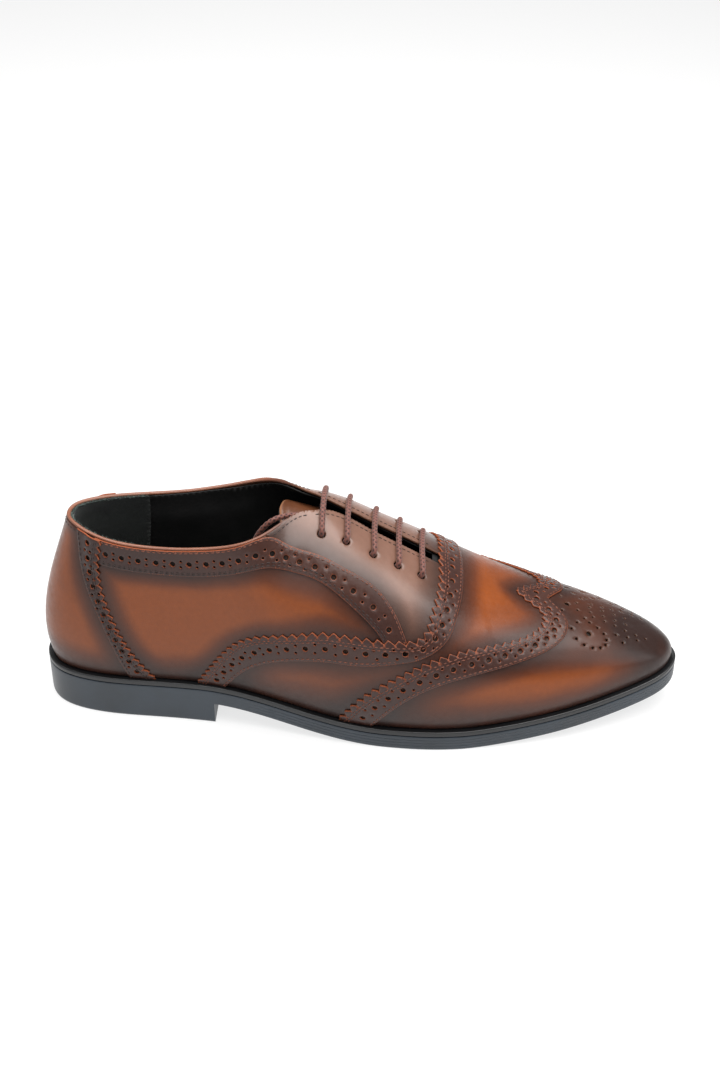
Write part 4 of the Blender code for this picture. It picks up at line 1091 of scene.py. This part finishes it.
glove_black = lining_leather("glove leather", (0.003, 0.003, 0.003), (0.008, 0.0075, 0.0075),
                             (0.50, 0.75), 0.0012, 0.3, 0.12)
suede_black = lining_leather("heel grip suede", (0.003, 0.004, 0.004), (0.016, 0.020, 0.018),
                             (0.85, 1.0), 0.0007, 0.9, 0.35, sheen=0.35)


def lining_depth(s, v):
    """Close to the panels at the topline, and inside the stiffeners elsewhere."""
    deep = STIFFENER + GAP
    forward = smooth(np.abs(s), 0.63, 0.70)
    low = (1 - smooth(v, 0.80, 0.93)) * (1 - smooth(np.abs(s), 0.31, 0.42))
    return PANEL + LINING_GAP + deep * np.maximum(forward, low)


COARSE = 3.5 * MM
rear_line = walk([(LINING_REAR, 0.0), (LINING_REAR, 1.0)], COARSE)
grip_outline = loop(rear_line, walk([(LINING_REAR, 1.0), (-LINING_REAR, 1.0)], COARSE),
                    (rear_line * (-1, 1))[::-1], walk([(-LINING_REAR, 0.0), (LINING_REAR, 0.0)], COARSE))
topline = [(LINING_REAR, 1.0), (0.30, 1.0), (0.40, 0.995), (0.452, 0.995), (CORNER, FACING_EDGE_V)]
lining_outline = loop(rear_line, walk(topline, COARSE),
                      walk([(CORNER, FACING_EDGE_V), (LINING_FRONT, FACING_EDGE_V)], COARSE),
                      walk([(LINING_FRONT, FACING_EDGE_V), (LINING_FRONT, 0.0)], COARSE),
                      walk([(LINING_FRONT, 0.0), (LINING_REAR, 0.0)], COARSE))
front_outline = loop(walk([(LINING_FRONT, 0.0), (LINING_FRONT, 1.0)], COARSE),
                     walk([(LINING_FRONT, 1.0), (1.0, 1.0)], COARSE),
                     walk([(1.0, 1.0), (1.0, 0.0)], COARSE),
                     walk([(1.0, 0.0), (LINING_FRONT, 0.0)], COARSE))
piece = leather("heel_grip", [grip_outline], lining_depth, LINING, suede_black, cell=COARSE)
fit(piece, "shoe", "black_suede", "heel_grip")
for side, turned in (("lateral", 1), ("medial", -1)):
    outline = lining_outline if turned == 1 else mirrored(lining_outline)[1]
    piece = leather("quarter_lining_" + side, [outline], lining_depth, LINING, glove_black,
                    eyelet_holes(turned), cell=COARSE)
    fit(piece, "shoe", "black_lining", "quarter_lining_" + side)
piece = leather("vamp_lining", mirrored(front_outline), lining_depth, LINING, glove_black, cell=COARSE)
fit(piece, "shoe", "black_lining", "vamp_lining")

# ---------------------------------------------------------------- sock
# A full-length black sock cemented to the insole board, with a pressed line round its edge.
SOCK_STEPS = 360
SOCK_ROWS = (                    # inset from the lining and height over the insole, in mm
    (0.0, 0.0), (0.0, 0.75), (0.25, 1.0), (1.6, 1.0), (2.0, 0.82), (2.4, 1.0))
wall_inset = SHELF + PANEL + STIFFENER + LINING + 4.5 * GAP + 1.3 * MM
stations = np.linspace(-1, 1, SOCK_STEPS, endpoint=False)
sock_level = 2 * GAP + 2.0 * MM
verts, faces = [], []
for inset, up in SOCK_ROWS:
    height = sock_level + up * MM
    verts.append(wall_point(stations, np.full(SOCK_STEPS, wall_inset + inset * MM),
                            lambda x: seat(x) + height))
count = len(SOCK_ROWS) * SOCK_STEPS
top_ring = count - SOCK_STEPS
for row in range(0, top_ring, SOCK_STEPS):
    for i in range(SOCK_STEPS):
        j = (i + 1) % SOCK_STEPS
        faces.append((row + i, row + SOCK_STEPS + i, row + SOCK_STEPS + j, row + j))
cap(top_ring + np.arange(SOCK_STEPS), lambda x: seat(x) + height, True, 5 * MM)
cap(np.arange(SOCK_STEPS), lambda x: seat(x) + sock_level, False, 5 * MM)
sock = make_piece("sock", np.vstack(verts), faces, glove_black, crease=0.8)
fit(sock, "shoe", "black_lining", "sock_liner")

# ---------------------------------------------------------------- topline binding
# A narrow strip of undyed tan calf folded over the topline and rolled, paler than the panels
# because the dye rubs off it.
bead_calf = calf("bead calf", (0.24, 0.095, 0.055), (0.17, 0.064, 0.038), (0.060, 0.024, 0.016),
                 (0.10, 0.04, 0.02), sheen=(0.30, 0.42), grain=0.0005, uneven=0.9)


def sweep(name, path, ups, section, finish):
    """A mesh drawn along a path: section gives offsets sideways and up for each point."""
    path = np.asarray(path, float)
    along = unit(np.gradient(path, axis=0))
    sides = unit(np.cross(along, ups))
    ups = np.cross(sides, along)
    rings = [place + side * offset[:, :1] + up * offset[:, 1:] for place, side, up, offset
             in zip(path[:, None], sides[:, None], ups[:, None], section)]
    count = len(rings[0])
    faces = []
    for row in range(len(rings) - 1):
        for i in range(count):
            j = (i + 1) % count
            faces.append((row * count + i, row * count + j, (row + 1) * count + j, (row + 1) * count + i))
    faces.append(tuple(range(count))[::-1])
    faces.append(tuple((len(rings) - 1) * count + i for i in range(count)))
    return make_piece(name, np.vstack(rings), faces, finish)


end = CORNER - 0.034
s = np.linspace(-end, end, 420)
bead_wall = (PANEL * 2 + GAP + LINING) / 2
rim = at(s, np.ones_like(s), bead_wall * 0.50)
lift = unit(slopes(s, np.ones_like(s))[1])
BEAD_SIDES = 14
turn = np.linspace(0, 2 * np.pi, BEAD_SIDES, endpoint=False)
fade = smooth(end - np.abs(s), -0.002, 0.02)
oval = np.stack([np.cos(turn) * 0.95 * MM, np.sin(turn) * 0.70 * MM], 1)
section = [oval * (0.45 + 0.55 * f) * (1 + 0.02 * np.sin(37 * k)) for k, f in zip(s * 30, fade)]
bead = sweep("topline_bead", rim + lift * 0.45 * MM, lift, section, bead_calf)
paint(bead.data, "dye_and_shade", np.repeat(0.25 + 0.5 * smooth(np.abs(s), 0.36, 0.43), BEAD_SIDES))
paint(bead.data, "raw_edge", np.zeros(BEAD_SIDES * len(s)))
fit(bead, "shoe", "brown_leather", "topline_binding")

# ---------------------------------------------------------------- tongue
# Tan calf over black lining, sewn in at the throat and free at the top, with a sunk line round its rim.
LACE_DIAMETER = 2.6 * MM
LACE_DEPTH = PANEL + LINING_GAP + LINING + 2 * GAP + LACE_DIAMETER / 2
TONGUE_DEPTH = LACE_DEPTH + LACE_DIAMETER / 2 + 0.01965 * UPPER_HEIGHT
TONGUE = 1.1 * MM
TONGUE_ROOT = 0.632
TONGUE_TOP = 15 * MM
TONGUE_SAG = 0.42
TONGUE_KNEE = 0.490
tongue_calf = calf("tongue calf", (0.120, 0.040, 0.014), (0.060, 0.020, 0.009), (0.018, 0.008, 0.006),
                   (0.30, 0.13, 0.06), sheen=(0.34, 0.5), uneven=0.5)


def instep(s, v, depth):
    """A point over the instep, run straight on along the ridge behind the knee station."""
    s = np.asarray(s, float)
    held = np.sign(s) * np.maximum(np.abs(s), TONGUE_KNEE)
    back = np.where(np.abs(s) < TONGUE_KNEE, (TONGUE_KNEE - np.abs(s)) * SCALE[0], 0)
    direction = unit(np.array([-1.0, 0.0, -ridge_slope(np.array(0.52)) * TONGUE_SAG]))
    return at(held, v, depth) + back[..., None] * direction


def tongue_piece(name, depth, wall, finish, rows=72, columns=48):
    """A leaf of the tongue: its rim is rounded in plan at the free corners and rolled."""
    top = TONGUE_KNEE - 0.012 - TONGUE_TOP / SCALE[0]
    long = np.linspace(0, 1, rows + 1)
    wide = np.linspace(-1, 1, columns + 1)
    reach = (0.306 + 0.126 * np.sin(np.pi * long * 0.9)) * TOPLINE_WIDTH / OVER_FACINGS
    reach = reach * np.sqrt(np.clip(1 - np.clip((long - 0.93) / 0.07, 0, 1)**2 * 0.12, 0, 1))
    station = TONGUE_ROOT + (top - TONGUE_ROOT) * long
    v = 1 - np.abs(wide)[None] * reach[:, None]
    side = np.where(wide <= 0, 1, -1)[None] * np.ones((rows + 1, 1))
    span = np.minimum(np.minimum(long, 1 - long)[:, None] * 78 * MM, (1 - np.abs(wide))[None] * 20 * MM)
    roll = 0.35 * wall * (1 - np.sqrt(np.clip(1 - (1 - np.clip(span / (0.8 * MM), 0, 1))**2, 0, 1)))
    pad = 0.35 * MM * np.exp(-((span - 3.2 * MM) / (0.5 * MM))**2)
    s = side * station[:, None]
    grain = instep(s, np.minimum(v, 0.998), depth + roll + pad * (name == "tongue"))
    flesh = instep(s, np.minimum(v, 0.998), depth + wall - roll * 0.3)
    middle = columns // 2
    grain[:, middle, 1] = 0
    flesh[:, middle, 1] = 0
    n = (rows + 1) * (columns + 1)
    index = np.arange(n).reshape(rows + 1, columns + 1)
    faces = []
    for r in range(rows):
        for c in range(columns):
            quad = (index[r, c], index[r, c + 1], index[r + 1, c + 1], index[r + 1, c])
            faces += [quad, tuple(i + n for i in quad[::-1])]
    border = list(index[0]) + list(index[1:, -1]) + list(index[-1, -2::-1]) + list(index[-2:0:-1, 0])
    for a, b in zip(border, border[1:] + border[:1]):
        faces.append((b, a, a + n, b + n))
    leaf = make_piece(name, np.vstack([grain.reshape(-1, 3), flesh.reshape(-1, 3)]), faces, finish,
                      crease=1.1)
    rim = np.where(span < 1e-6, 0.8, 0.0).ravel()
    paint(leaf.data, "raw_edge", np.r_[rim, rim])
    shade = (0.15 + 0.55 * smooth(1 - long, 0.35, 0.9))[:, None] * np.ones(columns + 1)
    paint(leaf.data, "dye_and_shade", np.r_[shade.ravel(), shade.ravel()])
    return leaf


tongue = tongue_piece("tongue", TONGUE_DEPTH, TONGUE, tongue_calf)
fit(tongue, "tongue", "tan_leather", "tongue")
tongue_back = tongue_piece("tongue_lining", TONGUE_DEPTH + TONGUE + GAP, LINING, glove_black)
fit(tongue_back, "tongue", "black_lining", "tongue_lining")

# ---------------------------------------------------------------- lace
# One round braided cotton lace, waxed and dyed red-brown, in straight bars over the facings,
# with its two ends tucked in. Three ridges of braid wind each way round it.
def lace_bar(row, first):
    """One bar of the lace: up through an eyelet, over the facings and down the other side."""
    s, v = EYELETS[row]
    over = -LACE_DIAMETER / 2 - GAP * 1.5
    half = [(v, LACE_DEPTH), (v, LACE_DEPTH * 0.5), (v, 0.0), (v + 0.006, over * 0.72),
            (v + 0.022, over), (v + 0.07, over), (1.0 - 0.02, over)]
    near = [at(np.array(first * s), np.array(u), d) for u, d in half]
    far = [at(np.array(-first * s), np.array(u), d) for u, d in half[::-1]]
    return near + far


def lace_run(side, start, stop, shift):
    """The lace behind the facings, from one eyelet to another, passing beside those between."""
    a, b = EYELETS[start], EYELETS[stop]
    count = 2 * abs(stop - start) + 1
    points = []
    for k in range(1, count):
        t = k / count
        s = a[0] + (b[0] - a[0]) * t
        v = a[1] + (b[1] - a[1]) * t + shift * np.sin(np.pi * min(1, 2.2 * min(t, 1 - t) + 0.1) / 2)
        points.append(at(np.array(side * s), np.array(v), LACE_DEPTH))
    return points


aside = 5 * MM / OVER_FACINGS
tail = [(0.502, 7.1), (0.480, 5.0), (0.458, 5.9), (0.438, 8.9), (0.424, 12.4)]
route = [instep(np.array(s), np.array(1 - down * MM / OVER_FACINGS), LACE_DEPTH + GAP / 2)
         for s, down in tail]
hang = np.array([(-6, -1, -5), (-10, -1, -13), (-12, -1, -23)]) * MM
route += [route[-1] + step for step in hang]
route = route[::-1]
route += lace_bar(3, 1) + lace_run(-1, 3, 1, -aside)
route += lace_bar(1, -1) + lace_run(1, 1, 0, 0)
route += lace_bar(0, 1) + lace_run(-1, 0, 2, aside)
route += lace_bar(2, -1) + lace_run(1, 2, 4, -aside)
route += lace_bar(4, 1)
tuck = [(0.478, 0.790, 1.5), (0.470, 0.730, 3.0), (0.462, 0.670, 5.0), (0.455, 0.610, 8.0)]
route += [at(np.array(-s), np.array(v), LACE_DEPTH + more * MM) for s, v, more in tuck]
route = np.array(route)
run = np.r_[0, np.cumsum(np.linalg.norm(np.diff(route, axis=0), axis=1))]
lace_length = run[-1]
rings = int(lace_length / (0.30 * MM))
lace_path = cubic(run, route)(np.linspace(0, lace_length, rings))
along = unit(np.gradient(lace_path, axis=0))
ups = [np.array([0.0, 0.0, 1.0])]
for step in along[1:]:           # carry one direction along the lace without twisting it
    up = ups[-1] - step * np.dot(ups[-1], step)
    ups.append(up / np.linalg.norm(up))
STRANDS = 3
STRAND_LAY = 7.5 * MM            # along the lace for one turn of a strand
turn = np.linspace(0, 2 * np.pi, 20, endpoint=False)
reach = np.linspace(0, lace_length, rings)[:, None]
wind = 2 * np.pi * reach / STRAND_LAY
weave = np.maximum(np.cos(STRANDS * (turn[None] - wind)), np.cos(STRANDS * (turn[None] + wind)))
radius = (LACE_DIAMETER / 2) * (0.90 + 0.11 * weave)
section = [np.stack([np.cos(turn) * r, np.sin(turn) * r], 1) for r in radius]


def lace_cotton():
    """Waxed cotton braid: painted shade in the gaps between strands, with fine lengthwise fibres."""
    mat, tree, shader = shader_tree("waxed lace")
    place = node(tree, "ShaderNodeTexCoord")
    high = node(tree, "ShaderNodeAttribute", attribute_name="strand")
    fibre = node(tree, "ShaderNodeTexNoise", ("Vector", place.outputs["Object"]), Scale=5200.0, Detail=3.0)
    worn = node(tree, "ShaderNodeTexNoise", ("Vector", place.outputs["Object"]), Scale=160.0, Detail=3.0)
    spread = node(tree, "ShaderNodeMath", (0, fibre.outputs[0]), (1, 0.35), operation="MULTIPLY")
    total = node(tree, "ShaderNodeMath", (0, high.outputs["Fac"]), (1, spread.outputs[0]), operation="ADD")
    # Painted shade: the colour falls to nearly black where the strands dip apart.
    tint = stops(node(tree, "ShaderNodeValToRGB", (0, total.outputs[0])),
                 (0.22, (0.007, 0.0022, 0.0018)), (0.65, (0.062, 0.015, 0.0095)),
                 (1.0, (0.135, 0.040, 0.026)))
    patchy = node(tree, "ShaderNodeMapRange", (0, worn.outputs[0]), (3, 0.75), (4, 1.25))
    mixed = node(tree, "ShaderNodeMix", (6, tint.outputs[0]), (7, patchy.outputs[0]),
                 data_type="RGBA", blend_type="MULTIPLY", clamp_result=False)
    mixed.inputs[0].default_value = 1.0
    tree.links.new(mixed.outputs[2], shader.inputs["Base Color"])
    gloss = node(tree, "ShaderNodeMapRange", (0, high.outputs["Fac"]), (3, 0.85), (4, 0.55))
    tree.links.new(gloss.outputs[0], shader.inputs["Roughness"])
    bump = node(tree, "ShaderNodeBump", ("Height", fibre.outputs[0]), Strength=0.5, Distance=0.0001)
    tree.links.new(bump.outputs[0], shader.inputs["Normal"])
    shader.inputs["Sheen Weight"].default_value = 0.15
    return mat


lace_thread = lace_cotton()
lace = sweep("lace", lace_path, np.array(ups), section, lace_thread)
paint(lace.data, "strand", ((weave + 1) / 2).ravel())
fit(lace, "shoe", "lace_brown", "lace")


# ---------------------------------------------------------------- stitching
# Lockstitch in waxed thread, about ten stitches to the inch, sunk a little into the leather:
# two close rows inside each pinked edge and the facing strip's lower edge, one row elsewhere.
def thread_material(name, dark, light):
    """Twisted waxed thread, lighter where its plies stand up."""
    mat, tree, shader = shader_tree(name)
    place = node(tree, "ShaderNodeTexCoord")
    ply = node(tree, "ShaderNodeTexNoise", ("Vector", place.outputs["Object"]), Scale=1500.0, Detail=3.0)
    tint = stops(node(tree, "ShaderNodeValToRGB", (0, ply.outputs[0])), (0.32, dark), (0.68, light))
    tree.links.new(tint.outputs[0], shader.inputs["Base Color"])
    gloss = node(tree, "ShaderNodeMapRange", (0, ply.outputs[0]), (3, 0.45), (4, 0.8))
    tree.links.new(gloss.outputs[0], shader.inputs["Roughness"])
    bump = node(tree, "ShaderNodeBump", ("Height", ply.outputs[0]), Strength=0.4, Distance=0.0001)
    tree.links.new(bump.outputs[0], shader.inputs["Normal"])
    return mat


rust_thread = thread_material("rust thread", (0.075, 0.020, 0.010), (0.190, 0.052, 0.022))
brown_thread = thread_material("brown thread", (0.010, 0.005, 0.004), (0.034, 0.014, 0.010))

STITCH_PITCH = 2.45 * MM
stitch_tree = bpy.data.node_groups.new("row of stitches", "GeometryNodeTree")
face = stitch_tree.interface
sockets = {"Geometry": face.new_socket(name="Geometry", in_out="INPUT", socket_type="NodeSocketGeometry")}
for label, kind in (("Stitch length", "NodeSocketFloat"), ("Thread width", "NodeSocketFloat"),
                    ("Unevenness", "NodeSocketFloat"), ("Seed", "NodeSocketInt"),
                    ("Thread", "NodeSocketMaterial")):
    sockets[label] = face.new_socket(name=label, in_out="INPUT", socket_type=kind)
face.new_socket(name="Geometry", in_out="OUTPUT", socket_type="NodeSocketGeometry")
taken = stitch_tree.nodes.new("NodeGroupInput")
given = stitch_tree.nodes.new("NodeGroupOutput")
bead_shape = node(stitch_tree, "GeometryNodeMeshUVSphere", Segments=6, Rings=5, Radius=0.5)
across_thread = node(stitch_tree, "ShaderNodeCombineXYZ", ("X", taken.outputs["Thread width"]),
                     ("Y", taken.outputs["Thread width"]), ("Z", taken.outputs["Stitch length"]))
stitch_shape = node(stitch_tree, "GeometryNodeTransform", ("Geometry", bead_shape.outputs["Mesh"]),
                    ("Scale", across_thread.outputs[0]))
heading = node(stitch_tree, "GeometryNodeInputNamedAttribute", data_type="FLOAT_VECTOR", Name="heading")
upright = node(stitch_tree, "GeometryNodeInputNamedAttribute", data_type="FLOAT_VECTOR", Name="upright")
first_turn = node(stitch_tree, "FunctionNodeAlignRotationToVector",
                  ("Vector", heading.outputs[0]), axis="Z")
second_turn = node(stitch_tree, "FunctionNodeAlignRotationToVector",
                   ("Rotation", first_turn.outputs[0]), ("Vector", upright.outputs[0]),
                   axis="X", pivot_axis="Z")
least, most = (node(stitch_tree, "ShaderNodeMath", (0, 1.0), (1, taken.outputs["Unevenness"]),
                    operation=sign) for sign in ("SUBTRACT", "ADD"))
uneven = node(stitch_tree, "FunctionNodeRandomValue", ("Seed", taken.outputs["Seed"]),
              (2, least.outputs[0]), (3, most.outputs[0]), data_type="FLOAT")
as_points = node(stitch_tree, "GeometryNodeMeshToPoints", ("Mesh", taken.outputs["Geometry"]))
placed = node(stitch_tree, "GeometryNodeInstanceOnPoints", ("Points", as_points.outputs[0]),
              ("Instance", stitch_shape.outputs[0]), ("Rotation", second_turn.outputs[0]),
              ("Scale", uneven.outputs[1]))
real = node(stitch_tree, "GeometryNodeRealizeInstances", ("Geometry", placed.outputs[0]))
dressed = node(stitch_tree, "GeometryNodeSetMaterial", ("Geometry", real.outputs[0]),
               ("Material", taken.outputs["Thread"]))
stitch_tree.links.new(dressed.outputs[0], given.inputs[0])


def stitch_places(line, proud, pitch=STITCH_PITCH):
    """Centres, headings and uprights of the stitches along a line on the last."""
    steps = np.diff(at(line[:, 0], line[:, 1], 0.0), axis=0)
    run = np.r_[0, np.cumsum(np.linalg.norm(steps, axis=1))]
    places = np.arange(pitch * 0.6, run[-1] - pitch * 0.3, pitch)
    even = np.stack([np.interp(places, run, line[:, k]) for k in (0, 1)], 1)
    above = proud(even[:, 0], even[:, 1]) if callable(proud) else np.full(len(even), proud)
    ahead = np.stack([np.interp(places + 0.2 * MM, run, line[:, k]) for k in (0, 1)], 1)
    centre = at(even[:, 0], even[:, 1], -above)
    heading = unit(at(ahead[:, 0], ahead[:, 1], -above) - centre)
    return centre, heading, normal(even[:, 0], even[:, 1])


def sew(name, rows, thread, length, width, seed, body="shoe"):
    """All the rows of one thread on one body, made into a plain mesh."""
    centre, heading, upright = (np.vstack(part) for part in zip(*rows))
    data = bpy.data.meshes.new(name)
    data.from_pydata(centre.tolist(), [], [])
    for label, values in (("heading", heading), ("upright", upright)):
        layer = data.attributes.new(label, "FLOAT_VECTOR", "POINT")
        layer.data.foreach_set("vector", values.astype(np.float32).ravel())
    obj = bpy.data.objects.new(name + " plan", data)
    bpy.context.scene.collection.objects.link(obj)
    made = obj.modifiers.new("stitches", "NODES")
    made.node_group = stitch_tree
    for label, value in (("Stitch length", length), ("Thread width", width), ("Unevenness", 0.12),
                         ("Seed", seed), ("Thread", thread)):
        made[sockets[label].identifier] = value
    bpy.context.view_layer.update()
    evaluated = obj.evaluated_get(bpy.context.evaluated_depsgraph_get())
    plain = bpy.data.meshes.new_from_object(evaluated)
    bpy.data.objects.remove(obj)
    plain.name = name
    plain.shade_smooth()
    row = bpy.data.objects.new(name, plain)
    bpy.context.scene.collection.objects.link(row)
    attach(row, body)
    return row


def both_sides(line, proud):
    """One row on the outer side and its twin on the inner."""
    return [stitch_places(line, proud), stitch_places(line * (-1, 1), proud)]


def proud_of(lift):
    """On top of a strip that climbs over another."""
    return lambda s, v: lift(s, v) + STRIP + on_panel


on_panel = 0.02 * MM
on_strip = STRIP + STRIP_LIFT + on_panel
pale, dark = [], []
step = 0.5 * MM
STITCHED_EDGES = (               # strip, which edge, insets to its left in mm, what it lies on, thread
    (COUNTER_STRIP, 0, (-1.3,), on_strip, dark),
    (COUNTER_STRIP, 1, (2.2, 3.5), proud_of(over_counter), dark),
    (FACING_STRIP, 0, (-1.2,), on_strip, pale),
    (FACING_STRIP, 1, (1.2, 2.4), on_strip, dark),
    (VAMP_STRIP, 0, (-2.2, -3.4), proud_of(over_facing), pale),
    (VAMP_STRIP, 1, (1.2,), on_strip, pale),
    (WING_STRIP, 0, (-2.2, -3.4), on_strip, pale),
    (WING_STRIP, 1, (1.2,), on_strip, pale))
for strip, which, insets, proud, thread in STITCHED_EDGES:
    for inset in insets:
        thread += both_sides(beside(walk(side_of(strip, which), step), inset * MM), proud)
lacing_edge = beside(walk([throat, corner], step), 2.6 * MM)
mouth = walk([corner, (0.452, 1.0), (0.410, 1.0)], step)
dark += both_sides(lacing_edge[(lacing_edge[:, 0] < 0.628)], on_panel)
dark += both_sides(beside(mouth, 2.4 * MM)[4:], on_panel)
heel_rim = walk([(-0.085, 0.972), (0.085, 0.972)], step)
dark += [stitch_places(heel_rim, on_panel)]
STITCH_LENGTH = 1.70 * MM
THREAD_WIDTH = 0.56 * MM
sew("stitches_rust", pale, rust_thread, STITCH_LENGTH, THREAD_WIDTH, 3)
sew("stitches_brown", dark, brown_thread, STITCH_LENGTH, THREAD_WIDTH, 5)

# Loose fibres of the suede stand up along the heel grip's cut edge, leaning every way.
fibres = thread_material("suede fibre", (0.045, 0.060, 0.055), (0.200, 0.250, 0.225))
rng = np.random.default_rng(11)
FIBRES = 620
s, v = rng.uniform(-LINING_REAR, LINING_REAR, FIBRES), np.ones(FIBRES)
root = at(s, v, PANEL + LINING_GAP + LINING * rng.uniform(0.1, 1.2, FIBRES))
stray = unit(unit(slopes(s, v)[1]) + rng.normal(0, 0.65, (FIBRES, 3)))
sew("suede_fibres", [(root + stray * 0.35 * MM, stray, normal(s, v))], fibres, 1.7 * MM, 0.13 * MM, 7)

# ---------------------------------------------------------------- hidden parts
# Cork filler, steel shank, fibre insole board, heel stiffener and toe puff, and the lace's two
# moulded tips: as made, each with the finish of its own stock.
def stock(name, dark, light, scale, rough, strength, stretch=(1, 1, 1), metallic=0.0):
    """Raw stock: specks of the given fineness under a cloudy tint, drawn out by the stretch."""
    mat, tree, shader = shader_tree(name)
    place = node(tree, "ShaderNodeTexCoord")
    turned = node(tree, "ShaderNodeMapping", ("Vector", place.outputs["Object"]), Scale=stretch)
    specks = node(tree, "ShaderNodeTexVoronoi", ("Vector", turned.outputs[0]), Scale=scale)
    cloud = node(tree, "ShaderNodeTexNoise", ("Vector", turned.outputs[0]), Scale=scale * 2, Detail=5.0)
    both = node(tree, "ShaderNodeMath", (0, specks.outputs["Distance"]), (1, cloud.outputs[0]),
                operation="MULTIPLY")
    tint = stops(node(tree, "ShaderNodeValToRGB", (0, both.outputs[0])), (0.05, dark), (0.45, light))
    tree.links.new(tint.outputs[0], shader.inputs["Base Color"])
    gloss = node(tree, "ShaderNodeMapRange", (0, cloud.outputs[0]), (3, rough[0]), (4, rough[1]))
    tree.links.new(gloss.outputs[0], shader.inputs["Roughness"])
    bump = node(tree, "ShaderNodeBump", ("Height", both.outputs[0]), Strength=strength, Distance=0.0002)
    tree.links.new(bump.outputs[0], shader.inputs["Normal"])
    shader.inputs["Metallic"].default_value = metallic
    return mat


cork = stock("cork filler", (0.14, 0.07, 0.03), (0.48, 0.31, 0.17), 700, (0.8, 0.95), 0.6)
board = stock("fibre board", (0.24, 0.16, 0.09), (0.45, 0.33, 0.20), 1500, (0.8, 0.95), 0.3)
backing = stock("dark backer", (0.012, 0.008, 0.006), (0.035, 0.022, 0.016), 1500, (0.8, 0.95), 0.3)
spring_steel = stock("spring steel", (0.38, 0.39, 0.41), (0.60, 0.61, 0.63), 400, (0.25, 0.45), 0.15,
                     (0.05, 1, 1), 1.0)
tip_plastic = stock("lace tip", (0.050, 0.018, 0.012), (0.11, 0.045, 0.028), 500, (0.22, 0.35), 0.1)
for name, finish in (("bottom_filler", cork), ("shank", spring_steel), ("insole_board", board),
                     ("heel_stiffener", backing), ("toe_puff", backing),
                     ("aglet_inner", tip_plastic), ("aglet_outer", tip_plastic)):
    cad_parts[name].data.materials.clear()
    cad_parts[name].data.materials.append(finish)

# ---------------------------------------------------------------- finish
size = {"cad": [list(corner) for corner in cad_box], "visual": [list(corner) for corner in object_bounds()]}
